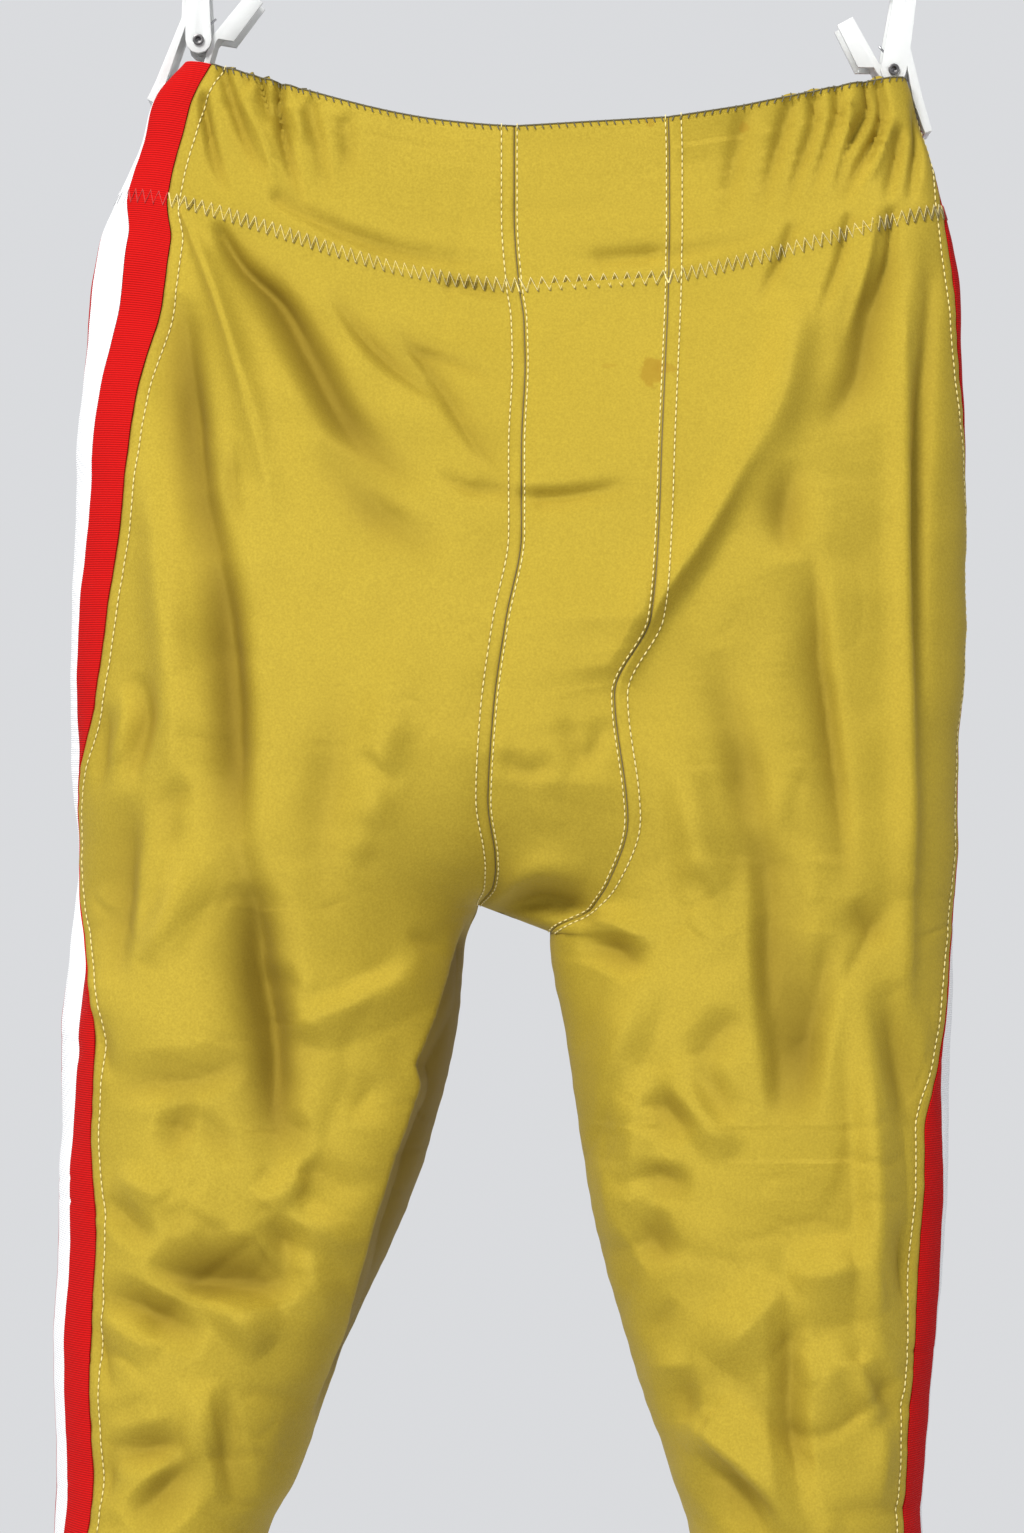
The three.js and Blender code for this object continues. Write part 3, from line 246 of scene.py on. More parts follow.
# Creases of the front, as seen: lines through points (x, z). A height below zero is a trough. The
# widths are those on the right hand and on the left hand of the way along the line; crisp is the
# power of the slope, 2 a soft fold and 1 a sharp fold between flat faces.
FRONT_CREASES = (
    # height, right hand, left hand, crisp, points
    # left front, from the waist down
    (-4.6, 9, 7, 1.8, ((-153, -238), (-152, -265), (-149, -300), (-145, -330), (-140, -352))),
    (-5.0, 10, 7, 1.8, ((-146, -322), (-139, -352), (-135, -382), (-132, -415), (-131, -450),
                        (-129, -486))),
    (3.0, 9, 8, 2, ((-166, -305), (-160, -350), (-156, -410), (-160, -452))),
    (-1.8, 9, 7, 1.5, ((-127, -470), (-122, -495), (-119, -528), (-114, -550), (-112, -578),
                       (-111, -615))),
    (3.0, 7, 6, 1.6, ((-147, -212), (-138, -235), (-130, -262), (-124, -282), (-118, -306),
                      (-113, -335))),
    (-4.4, 7, 9, 1.8, ((-137, -212), (-126, -230), (-113, -245), (-103, -261), (-95, -276),
                       (-85, -293), (-70, -308), (-50, -322))),
    (-2.0, 9, 9, 2, ((-96, -300), (-82, -320), (-66, -336), (-42, -350))),
    (-2.6, 3, 6, 1.4, ((-92, -237), (-74, -261), (-56, -276), (-44, -284))),
    (-2.2, 3.5, 6, 1.4, ((-67, -246), (-46, -276), (-31, -300), (-14, -322))),
    (-1.6, 3, 4, 1.5, ((-46, -314), (-30, -322), (-13, -322))),
    (-1.4, 3, 4, 1.5, ((-63, -262), (-40, -268), (-18, -276))),
    (-1.4, 3.5, 3.5, 1.3, ((-132, -300), (-132, -320), (-130, -336))),
    # folds at the pocket
    (-3.2, 4, 3.5, 1, ((-170, -398), (-168, -412), (-170, -424), (-178, -446))),
    (1.4, 5, 5, 1.6, ((-177, -404), (-177, -422), (-182, -440))),
    (-2.4, 3.5, 4, 1.5, ((-184, -412), (-187, -430), (-188, -450))),
    (-3.0, 9, 3.5, 1, ((-175, -450), (-176, -466), (-178, -488), (-182, -530))),
    (-2.2, 4, 3.5, 1, ((-149, -444), (-156, -452), (-163, -461))),
    (-1.8, 3.5, 3.5, 1, ((-155, -457), (-158, -466), (-160, -476))),
    (3.0, 5, 6, 1, ((-145, -472), (-152, -488), (-159, -503), (-168, -521))),
    (-1.8, 3.5, 4, 1.3, ((-190, -540), (-187, -554), (-183, -570))),
    # valley and facets of the left leg
    (-4.0, 13, 8, 1.5, ((-129, -470), (-125, -490), (-121, -505), (-119, -524), (-115, -541),
                      (-113, -560), (-112, -583), (-111, -607))),
    (-1.6, 4, 4, 1, ((-118, -523), (-110, -529), (-103, -533))),
    (2.6, 8, 4, 1, ((-110, -548), (-90, -541), (-72, -533), (-58, -524), (-52, -512))),
    (-1.6, 4, 4, 1, ((-106, -551), (-99, -555), (-95, -562))),
    (-1.6, 3.5, 4, 1, ((-67, -552), (-63, -560), (-58, -566))),
    (-2.0, 4, 8, 1, ((-184, -575), (-163, -572), (-144, -570), (-126, -560))),
    (-2.4, 5, 4, 1, ((-152, -574), (-154, -588), (-160, -604))),
    (-1.6, 4, 4, 1, ((-149, -583), (-140, -592), (-130, -604))),
    (-2.2, 4, 4, 1, ((-111, -586), (-104, -592), (-101, -603))),
    (-2.0, 5, 5, 1.4, ((-72, -569), (-76, -577), (-82, -586))),
    (-2.0, 6, 6, 1, ((-99, -602), (-90, -612), (-80, -620))),
    # star of folds at the knee and the broad dark fold under it
    (-2.4, 4, 3.5, 1, ((-111, -606), (-114, -612), (-119, -619))),
    (2.8, 4, 4, 1, ((-120, -624), (-111, -614), (-101, -605))),
    (2.0, 3.5, 3.5, 1, ((-110, -624), (-105, -617), (-101, -609))),
    (2.4, 5, 5, 1, ((-117, -623), (-105, -628), (-94, -633), (-82, -641))),
    (-2.4, 6, 4, 1, ((-116, -627), (-109, -638), (-106, -655))),
    (1.8, 5, 5, 1, ((-107, -636), (-101, -648), (-96, -664), (-92, -676))),
    (1.8, 5, 4, 1, ((-182, -610), (-170, -614), (-158, -621))),
    (-1.8, 4, 4, 1, ((-185, -618), (-175, -630), (-163, -640))),
    (-1.6, 3.5, 4, 1, ((-149, -620), (-155, -627), (-158, -635))),
    (-1.6, 4, 4, 1.4, ((-150, -624), (-142, -632), (-130, -634))),
    (-4.6, 4, 12, 1, ((-168, -646), (-150, -654), (-130, -657), (-112, -656), (-104, -648))),
    (2.6, 5, 9, 1, ((-139, -659), (-129, -671), (-118, -685))),
    (-3.2, 5, 7, 1, ((-190, -660), (-172, -667), (-157, -673), (-142, -679))),
    (2.0, 6, 4, 1, ((-187, -668), (-172, -676), (-160, -682))),
    # calf of the left leg
    (-2.4, 4, 5, 1, ((-139, -698), (-137, -713), (-132, -733), (-129, -752))),
    (2.6, 7, 4, 1, ((-142, -696), (-141, -712), (-137, -728))),
    (-3.0, 4, 6, 1, ((-184, -728), (-167, -726), (-150, -721))),
    (-3.0, 8, 4, 1, ((-176, -756), (-160, -742), (-146, -728))),
    (-1.8, 3.5, 5, 1.2, ((-189, -668), (-186, -688), (-182, -703))),
    (-1.8, 3.5, 4, 1.3, ((-183, -720), (-184, -735), (-186, -750))),
    # soft folds inside the left thigh
    (-1.8, 5, 5, 1.5, ((-78, -431), (-70, -440), (-60, -446))),
    (-1.6, 5, 5, 1.5, ((-80, -460), (-72, -466), (-66, -470))),
    (-1.8, 5, 5, 1.5, ((-80, -484), (-74, -478), (-67, -472))),
    (-1.8, 4, 4, 1.5, ((-58, -508), (-50, -512), (-42, -513))),
    # edge of the left leg's front, with shade beside it
    (4.0, 14, 4, 1, LEG_EDGE),
    # right front, from the waist down
    (3.2, 9, 10, 2, ((107, -238), (98, -280), (84, -313))),
    (4.0, 9, 5, 1.6, ((92, -296), (82, -314), (65, -343), (48, -368), (34, -395), (28, -406))),
    (-3.0, 8, 8, 1.8, ((155, -217), (141, -238), (132, -276), (115, -296))),
    (3.0, 6, 4, 1.8, ((150, -217), (151, -300), (152, -400), (152, -500), (150, -578))),
    (-3.0, 4, 4, 1.8, ((160, -213), (162, -250), (158, -300), (156, -380), (156, -435))),
    (-2.4, 9, 8, 1.8, ((103, -309), (102, -332), (104, -352))),
    (-3.0, 9, 3, 1.4, ((107, -343), (113, -352), (116, -376), (117, -393), (120, -410), (123, -435),
                       (125, -452), (127, -477), (129, -490))),
    # inside of the right leg
    (-3.2, 4, 6, 1, ((14, -511), (28, -516), (41, -525))),
    (2.0, 4, 6, 1, ((16, -507), (34, -507), (42, -516))),
    (2.6, 8, 6, 1, ((41, -522), (37, -540), (31, -557), (26, -572), (22, -592))),
    (2.2, 6, 5, 1, ((40, -562), (38, -585), (37, -605), (36, -622))),
    (-2.4, 7, 4, 1, ((42, -576), (52, -584), (62, -594))),
    (2.8, 6, 4, 1, ((54, -560), (62, -575), (70, -588), (80, -601))),
    (-2.2, 4, 7, 1, ((58, -562), (67, -576), (76, -590))),
    (-1.6, 6, 5, 1, ((60, -562), (70, -554), (80, -540))),
    (-1.8, 5, 5, 1.3, ((62, -480), (70, -495), (78, -508))),
    (-2.6, 6, 3.5, 1, ((37, -610), (48, -611), (62, -614))),
    (-2.4, 4, 6, 1, ((37, -620), (41, -632), (46, -641), (53, -649))),
    (2.0, 4, 4, 1, ((36, -612), (38, -628), (40, -640))),
    (2.0, 6, 6, 1.6, ((24, -600), (27, -618), (32, -640))),
    (-1.6, 4, 4, 1.3, ((40, -677), (46, -673), (54, -662))),
    (2.0, 6, 5, 1, ((40, -689), (49, -690), (58, -689))),
    (-2.6, 5, 4, 1, ((56, -690), (57, -702), (58, -714))),
    # wide valley down the right thigh and the ridges beside it
    (2.2, 9, 9, 2, ((52, -420), (64, -470), (74, -520))),
    (-2.0, 9, 9, 2, ((70, -390), (84, -440), (92, -500))),
    (-3.2, 4, 10, 1, ((92, -462), (94, -490), (94, -520), (97, -552), (101, -592))),
    (-3.2, 9, 4, 1, ((118, -508), (116, -530), (112, -556), (108, -588))),
    (-2.4, 6, 6, 1.4, ((130, -494), (138, -506), (145, -512))),
    (3.4, 4, 7, 1, ((131, -530), (134, -552), (136, -580), (138, -612), (138, -650), (139, -675),
                    (144, -692), (150, -708))),
    (-2.8, 5, 5, 1, ((142, -528), (147, -550), (151, -572), (156, -594))),
    (-2.2, 3.5, 3.5, 1.2, ((149, -628), (150, -645), (151, -664))),
    # facets of the right calf and the fold that laps over
    (3.0, 12, 8, 1, ((101, -652), (113, -651), (126, -649), (138, -645))),
    (2.6, 9, 9, 1, ((101, -655), (86, -672), (72, -690))),
    (-3.0, 5, 4, 1, ((102, -656), (103, -685), (103, -710), (106, -735), (110, -758))),
    (2.0, 9, 7, 1, ((108, -698), (120, -692), (131, -686))),
    (2.8, 4, 4, 1, ((130, -686), (135, -699), (142, -714))),
    (-2.4, 4, 4, 1, ((135, -688), (142, -701), (148, -713))),
    (2.0, 6, 6, 1.6, ((143, -712), (141, -730), (140, -750))),
    (4.6, 5, 11, 1, ((60, -710), (65, -718), (70, -720), (83, -733), (92, -742), (101, -752),
                     (110, -762))),
    (-3.4, 9, 4, 1, ((66, -724), (76, -734), (88, -746), (98, -757))),
    (2.4, 4, 4, 1.5, ((112, -761), (118, -757), (125, -753))),
    # soft folds on the left thigh
    (-0.9, 10, 8, 2, ((-84, -400), (-92, -450), (-98, -500))),
    (2.0, 9, 9, 2, ((-62, -390), (-70, -440), (-78, -490))),
    # centre panel
    (-1.6, 5, 4, 1.8, ((-30, -318), (0, -326), (40, -318))),
    (-1.0, 5, 5, 1.8, ((-22, -430), (-8, -441), (4, -434))),
    (-1.0, 5, 5, 1.8, ((6, -416), (16, -434), (28, -418))),
    (2.4, 4, 8, 1.8, ((-28, -496), (-14, -488), (-4, -483), (6, -483), (18, -486))),
    (-4.0, 6, 5, 1.8, ((-24, -500), (-8, -495), (4, -494), (22, -500))),
)
# Creases of the back, in their own places
BACK_CREASES = (
    (-4.0, 14, 12, 2, ((-132, -255), (-124, -320), (-108, -400), (-104, -440))),
    (-3.0, 6, 5, 1.6, ((-150, -240), (-118, -275), (-92, -330))),
    (3.0, 13, 13, 2, ((-42, -290), (-44, -350), (-48, -430))),
    (-4.0, 10, 6, 1.6, ((-30, -470), (-62, -448), (-96, -420), (-126, -396))),
    (-3.0, 7, 4, 1.5, ((-42, -506), (-78, -528), (-112, -548), (-134, -566))),
    (-4.0, 5, 9, 1.6, ((-164, -640), (-140, -646), (-116, -652), (-92, -656))),
    (-2.6, 4, 7, 1.6, ((-178, -668), (-150, -676), (-128, -690))),
    (3.0, 10, 9, 2, ((-128, -552), (-132, -620), (-138, -700), (-142, -780))),
    (-2.6, 4, 4, 1.5, ((-170, -560), (-158, -580), (-150, -606))),
    (-2.4, 4, 6, 1.6, ((-190, -730), (-168, -742), (-146, -746))),
    (-2.0, 3, 3, 1.5, ((-118, -690), (-122, -740), (-130, -790))),
    (-2.0, 5, 5, 1.8, ((-180, -830), (-160, -838), (-140, -834))),
    (3.0, 13, 13, 2, ((20, -300), (24, -360), (26, -430))),
    (-4.0, 14, 12, 2, ((122, -250), (114, -320), (98, -400), (94, -430))),
    (-3.0, 6, 5, 1.6, ((144, -236), (112, -270), (88, -330))),
    (-4.0, 6, 10, 1.6, ((12, -480), (40, -458), (72, -428), (102, -400))),
    (-3.0, 4, 7, 1.5, ((14, -516), (50, -532), (86, -548), (112, -566))),
    (-4.0, 9, 5, 1.6, ((62, -650), (84, -648), (108, -642), (132, -634))),
    (-2.6, 7, 4, 1.6, ((72, -700), (98, -690), (126, -682))),
    (3.0, 10, 9, 2, ((108, -552), (110, -620), (112, -700), (110, -790))),
    (-2.2, 4, 4, 1.5, ((140, -560), (132, -590), (130, -620))),
    (-2.4, 4, 6, 1.6, ((80, -756), (104, -748), (128, -744))),
    (-2.0, 5, 5, 1.8, ((84, -850), (108, -842), (134, -846))),
)
# Gathers of the waistband and the cloth just under it, as seen
GATHER_CREASES = (
    # left side
    (-2.6, 2.4, 2.2, 1.6, ((-144, -158), (-142, -170), (-138, -186), (-131, -200))),
    (-2.6, 2.6, 2.4, 1.6, ((-136, -144), (-131, -160), (-124, -178), (-114, -194))),
    (-3.2, 2.4, 1.8, 1.4, ((-120, -149), (-118, -158), (-114, -168))),
    (-3.8, 2.2, 2.0, 1.3, ((-111, -148), (-112, -162), (-108, -182), (-102, -202))),
    (1.4, 1.6, 1.6, 1.4, ((-127, -158), (-117, -178), (-114, -200))),
    (1.4, 2.0, 2.0, 1.6, ((-105, -162), (-101, -178))),
    (-1.6, 3.0, 3.0, 1.9, ((-99, -160), (-94, -182), (-90, -200))),
    (-1.2, 4.0, 4.0, 2.0, ((-84, -168), (-80, -192))),
    (-2.0, 2.0, 2.0, 1.6, ((-127, -146), (-124, -153))),
    (-1.8, 1.6, 1.6, 1.6, ((-104, -152), (-103, -158))),
    # right side
    (-1.2, 4.0, 4.0, 2.0, ((84, -166), (78, -192), (75, -210))),
    (-1.8, 3.0, 3.0, 1.8, ((103, -160), (98, -178), (91, -204))),
    (-2.2, 2.4, 2.6, 1.6, ((113, -156), (113, -168), (108, -184), (101, -204))),
    (-2.2, 2.4, 2.4, 1.6, ((123, -153), (123, -164), (118, -180), (111, -200))),
    (-3.2, 2.6, 2.0, 1.4, ((135, -150), (136, -161), (131, -172), (126, -180), (122, -196))),
    (-3.4, 2.8, 2.0, 1.4, ((140, -151), (142, -161), (141, -170), (136, -180), (130, -191),
                           (125, -202))),
    (1.6, 1.6, 1.6, 1.4, ((128, -158), (126, -176), (117, -200))),
    (1.8, 1.6, 1.6, 1.4, ((145, -168), (140, -182), (132, -198))),
    (-2.2, 3.0, 2.0, 1.6, ((150, -172), (148, -184), (143, -202))),
    (-2.6, 2.4, 2.0, 1.6, ((157, -160), (158, -175), (156, -186), (153, -202))),
    # hollow above the zigzag and the folds just under it
    (-1.8, 3.0, 4.5, 1.8, ((-112, -200), (-84, -214), (-56, -223), (-14, -227))),
    (-1.2, 3.0, 4.5, 1.8, ((24, -226), (60, -222), (96, -212))),
    (-1.6, 3.0, 3.0, 1.7, ((-40, -235), (-28, -237), (-14, -240))),
    (-2.6, 3.0, 3.0, 1.6, ((-137, -213), (-128, -228), (-112, -243), (-100, -262))),
    (1.8, 2.6, 2.6, 1.6, ((-152, -205), (-144, -224), (-132, -256), (-124, -286))),
    (-1.6, 2.6, 2.6, 1.7, ((104, -212), (98, -228), (88, -246))),
    (-1.8, 2.4, 2.4, 1.7, ((128, -208), (124, -226), (115, -250))),
    (1.6, 2.4, 2.4, 1.7, ((138, -208), (134, -232), (126, -262))),
    (-2.0, 2.4, 2.4, 1.6, ((146, -206), (145, -226), (140, -250))),
)
BACK_GATHERS = {
    "left": (-36, -46, -57, -69, -80, -92),
    "right": (-64, -73, -84, -95, -106),
}


def column_curve(rows, key):
    """Smooth curve through a table's column, without overshoot between its rows."""
    heights = np.array([row[0] for row in rows], float)
    values = np.array([row[COLUMNS.index(key)] for row in rows], float)
    chords = np.diff(values) / np.diff(heights)
    before = np.concatenate([chords[:1], chords])
    after = np.concatenate([chords, chords[-1:]])
    same = before * after > 0
    slopes = np.where(same, 2 * before * after / np.where(same, before + after, 1), 0)

    def value(z):
        i = np.clip(np.searchsorted(-heights, -np.asarray(z, float), side="right") - 1, 0, len(rows) - 2)
        span = heights[i + 1] - heights[i]
        t = np.clip((z - heights[i]) / span, 0, 1)
        rest = 1 - t
        return (values[i] * rest * rest * (1 + 2 * t) + slopes[i] * span * t * rest * rest
                + values[i + 1] * t * t * (3 - 2 * t) - slopes[i + 1] * span * t * t * rest)

    return value


class Half:
    """One half of the pants: its table of sections and the curves through it."""

    def __init__(self, name, rows):
        self.name = name
        self.rows = rows
        self.outward = 1 if name == "left" else -1
        for key in COLUMNS[1:]:
            setattr(self, key, column_curve(rows, key))
        self.crotch = rows[CROTCH_ROW][0]

    def height_at(self, place):
        i = min(int(place), len(self.rows) - 2)
        return self.rows[i][0] + (self.rows[i + 1][0] - self.rows[i][0]) * (place - i)

    def arc(self, z, face):
        """Half of a section from the side line to its front or back edge."""
        rise = min(max((z - self.crotch) / CROTCH_ARCH, 0), 1)
        turn = np.linspace(math.pi, math.acos((1 - rise) ** 2), RING_STEPS)
        power = self.square(z)
        c, s = np.cos(turn), np.sin(turn)
        scale = (np.abs(c) ** power + np.abs(s) ** power) ** (-1 / power)
        c, s = c * scale, s * scale
        side, fold = self.side(z), self.fold(z)
        edge = self.front(z) if face == "front" else self.back(z)
        reach = -self.fore(z) - fold if face == "front" else self.aft(z) - fold
        width = (edge - side) / (1 + c[-1])
        return side + width * (1 + c), fold + reach * s

    def ring(self, z):
        """The whole section, with the signed way round from the side line."""
        fx, fy = self.arc(z, "front")
        bx, by = self.arc(z, "back")
        x = np.concatenate([bx[:0:-1], fx])
        y = np.concatenate([by[:0:-1], fy])
        way = np.concatenate([[0], np.cumsum(np.hypot(np.diff(x), np.diff(y)))])
        return x, y, way - way[RING_STEPS - 1]

    def seams(self, z, way):
        """Ways round where the cut pieces meet, from the back seam to the front seam."""
        seam = self.seam(z)
        white = seam - self.red(z)
        return way[0], white - 2 * STRIPE_WIDTH, white - STRIPE_WIDTH, white, seam, way[-1]


LEFT = Half("left", LEFT_ROWS)
RIGHT = Half("right", RIGHT_ROWS)


def smooth_line(points, steps=8):
    """Rounded line through a few points."""
    p = np.array(points, float)
    ends = np.vstack([2 * p[0] - p[1], p, 2 * p[-1] - p[-2]])
    t = np.linspace(0, 1, steps, endpoint=False)[:, None]
    made = []
    for i in range(len(p) - 1):
        a, b, c, d = ends[i:i + 4]
        made.append(0.5 * (2 * b + (c - a) * t + (2 * a - 5 * b + 4 * c - d) * t ** 2
                           + (3 * b - a - 3 * c + d) * t ** 3))
    return np.vstack([*made, p[-1:]])


def crease_lift(x, z, creases, start_share=0.0):
    """Height in millimetres of all the creases over points; they fade out towards both ends."""
    lift = np.zeros_like(x)
    for height, right_hand, left_hand, crisp, points in creases:
        line = smooth_line(points)
        reach = 2.6 * max(right_hand, left_hand)
        near = ((x > line[:, 0].min() - reach) & (x < line[:, 0].max() + reach)
                & (z > line[:, 1].min() - reach) & (z < line[:, 1].max() + reach))
        if not near.any():
            continue
        px, pz = x[near], z[near]
        step = np.diff(line, axis=0)
        length = np.hypot(step[:, 0], step[:, 1])
        before = np.concatenate([[0], np.cumsum(length)])
        best = np.full(px.shape, 1e9)
        along = np.zeros_like(px)
        hand = np.zeros_like(px)
        for (ax, az), (dx, dz), size, start in zip(line, step, length, before):
            t = np.clip(((px - ax) * dx + (pz - az) * dz) / (size * size), 0, 1)
            ox, oz = px - ax - t * dx, pz - az - t * dz
            far = np.hypot(ox, oz)
            closer = far < best
            best = np.where(closer, far, best)
            along = np.where(closer, (start + t * size) / before[-1], along)
            hand = np.where(closer, dx * oz - dz * ox, hand)
        width = np.where(hand < 0, right_hand, left_hand)
        taper = np.sin(math.pi * np.clip(start_share + (1 - start_share) * along, 0, 1))
        strength = CREASE_STRENGTH + CREASE_STRENGTH_PER_WIDTH * (right_hand + left_hand)
        if not start_share:
            strength *= min(1, before[-1] / FULL_CREASE_LENGTH)
        if crisp == 1:
            slope = (np.hypot(best, CREST_ROUNDING) - CREST_ROUNDING) / (1.8 * width)
            profile = np.clip(1 - slope, 0, 1)
        else:
            profile = np.exp(-(best / width) ** crisp)
        lift[near] += strength * height * taper * profile
    return lift


def soft_noise(x, z, size, seed):
    """Slow uneven swell between -1 and 1."""
    random = np.random.default_rng(seed)
    total = np.zeros_like(x)
    for _ in range(NOISE_WAVES):
        angle, phase = random.uniform(0, math.pi), random.uniform(0, 2 * math.pi)
        scale = size * random.uniform(0.7, 1.5)
        total += np.sin((x * math.cos(angle) + z * math.sin(angle)) * 2 * math.pi / scale + phase)
    return total / NOISE_WAVES


def crumple(x, z, depth, size, seed):
    """Broken net of thin creases, uneven in length and no deeper than the given depth."""
    share = np.clip(0.15 + 1.6 * soft_noise(x, z, size * 1.3, seed + 50), 0, 1)
    return depth * (bell(soft_noise(x, z, size, seed), CRUMPLE_WIDTH) * share)


def as_seen(x, y, z):
    """Where a point shows on the plane through the origin, from the viewing distance."""
    seen = VIEW_DISTANCE / (VIEW_DISTANCE + y)
    return VIEW_X + (x - VIEW_X) * seen, VIEW_Z + (z - VIEW_Z) * seen


def front_lift(x, z):
    """Height of the front's creases at a place as seen."""
    lift = crease_lift(x, z, FRONT_CREASES) + crease_lift(x, z, GATHER_CREASES, GATHER_START)
    large, small = crumple(x, z, *LARGE_CRUMPLE), crumple(x + 0.4 * z, z, *SMALL_CRUMPLE)
    return lift - leg_share(z) * (large + small)


def leg_share(z):
    """How crumpled the cloth is: little at the hips, fully in the legs."""
    return HIP_CRUMPLED + (1 - HIP_CRUMPLED) * np.clip((CRUMPLED_FROM - z) / CRUMPLED_FADE, 0, 1)


def bell(distance, spread):
    return np.exp(-(distance / spread) ** 2)


def cloth_points(half, heights, shares, slot, is_band, keep=True):
    """Outer points of a cut piece with its edge distances, millimetres."""
    rows, columns = len(heights), len(shares)
    x, y, way = (np.zeros((rows, columns)) for _ in range(3))
    tangent = np.zeros((rows, columns, 2))
    edges = np.zeros((rows, 2))
    for r, z in enumerate(heights):
        rx, ry, rw = half.ring(z)
        seams = half.seams(z, rw)
        start, end = seams[slot] + SEAM_GAP / 2, seams[slot + 1] - SEAM_GAP / 2
        edges[r] = start, end
        way[r] = start + (end - start) * shares
        x[r], y[r] = np.interp(way[r], rw, rx), np.interp(way[r], rw, ry)
        for sign in (1, -1):
            w = np.clip(way[r] + sign * TANGENT_STEP, rw[0], rw[-1])
            tangent[r, :, 0] += sign * np.interp(w, rw, rx)
            tangent[r, :, 1] += sign * np.interp(w, rw, ry)
    if not is_band:
        inside = np.clip((edges[:, 1:] - way if slot == 4 else way - edges[:, :1]) / CROTCH_EDGE, 0, 1)
        if slot not in (0, 4):
            inside = np.ones_like(way)
        x = soft_rows(np.array(heights), x, half.crotch, CROTCH_SPREAD, CROTCH_BLUR, inside)
        y = soft_rows(np.array(heights), y, half.crotch, CROTCH_SPREAD, CROTCH_BLUR, inside)
    tangent /= np.linalg.norm(tangent, axis=2, keepdims=True)
    normal = np.stack([tangent[..., 1], -tangent[..., 0]], axis=2) * half.outward
    z = np.repeat(np.array(heights)[:, None], columns, axis=1)
    side = half.side(z) - WAIST_MIDDLE
    across = np.clip((x - WAIST_MIDDLE) / side, -1, 1)
    zigzag = half.rows[ZIGZAG_ROW][0]
    down = np.clip((half.rows[0][0] - z) / (half.rows[0][0] - zigzag), 0, 1)
    power = WAIST_SAG_POWER + (ZIGZAG_SAG_POWER[half.name] - WAIST_SAG_POWER) * down
    height = z - half.sag(z) * (1 - across ** 2) ** power
    if is_band and slot == 0 and half.name == "left":
        height += BAND_RISE * (1 - down) ** 3 * bell(x - BAND_RISE_X, BAND_RISE_SPREAD)
    to_start, to_end = way - edges[:, :1], edges[:, 1:] - way

    is_front = way >= 0
    seen_x, seen_z = as_seen(x, y, height)
    facing = np.sqrt(np.abs(normal[..., 1]))
    front = front_lift(seen_x, seen_z)
    depth, size, seed = BACK_CRUMPLE
    back = crease_lift(x, height, BACK_CREASES)
    back -= crumple(x, height, leg_share(height) * depth, size, seed)
    fade_in = np.clip((zigzag - z) / BACK_FADE, 0, 1) if not is_band else 1.0
    lift = np.where(is_front, front, back * fade_in) * facing
    lift += sum(swell * soft_noise(x, height, size, seed) for swell, size, seed in SWELLS)
    turned_away = np.zeros_like(way)
    if slot == 4 and half.name == "left" and not is_band:
        edge_x = np.interp(-seen_z, [-z for _, z in LEG_EDGE], [x for x, _ in LEG_EDGE])
        behind = seen_x - edge_x
        ends = (np.clip((TURNED_TOP - seen_z) / TURNED_TOP_FADE, 0, 1)
                * np.clip((seen_z - TURNED_LOW) / TURNED_LOW_FADE, 0, 1))
        turned_away = ends / (1 + np.exp(-behind / TURNED_SHARPNESS))
        drop = TURNED_DROP * turned_away * np.exp(-np.clip(behind, 0, None) / TURNED_SPREAD)
        lift -= drop * np.clip(to_end / TURNED_EDGE, 0, 1)
    if is_band:
        for at in BACK_GATHERS[half.name]:
            swell = 0.35 + 0.65 * np.sin(math.pi * down)
            lift += BACK_GATHER_HEIGHT * swell * bell(way - at, BACK_GATHER_WIDTH)
    else:
        edge = half.seam(z) - half.red(z)
        spread = np.where(way > edge, half.red(z), STRIPE_WIDTH / 2)
        lift -= half.tuck(z) * np.maximum(0, 1 - np.abs(way - edge) / spread)
    # Painted shade: darker in troughs by their depth, and in a band along the zigzag.
    shade = TROUGH_SHADE * np.clip(-lift / FULL_TROUGH, 0, 1) + ZIGZAG_SHADE * bell(z - zigzag, 3.0)
    # Painted shade on the side of the left leg that turns away from the light.
    shade += TURNED_SHADE * turned_away
    lift -= ZIGZAG_DIP * bell(z - zigzag, 1.0)
    lift += ZIGZAG_PUFF * bell(z - zigzag, 3.4)
    if slot in (0, 4):
        nearest = np.minimum(to_start, to_end)
        stripe_side = to_start if slot == 4 else to_end
        row = stripe_side if slot == 4 else nearest
        lift -= SEAM_DIP * bell(nearest, 0.7)
        lift -= ROW_DIP * bell(row - ROW_DISTANCE, 0.8)
        lift += SEAM_PUCKER * soft_noise(height, height * 0.3 + x, 7, 11) * bell(nearest, 6)
        # Painted shade along the seams and the rows of stitches.
        shade += SEAM_SHADE * bell(nearest, 0.5) + ROW_SHADE * bell(nearest - ROW_DISTANCE, 0.6)
    lift += ZIGZAG_PUCKER * soft_noise(x, x * 0.2 + z, 6, 12) * bell(z - zigzag, 7)
    point = np.stack([x + normal[..., 0] * lift, y + normal[..., 1] * lift, height], axis=2)
    facing_out = grid_normals(point) * half.outward
    grid = Grid(point, facing_out, to_start, to_end, shade)
    if keep:
        GRIDS[half.name, slot, is_band] = grid
    return grid


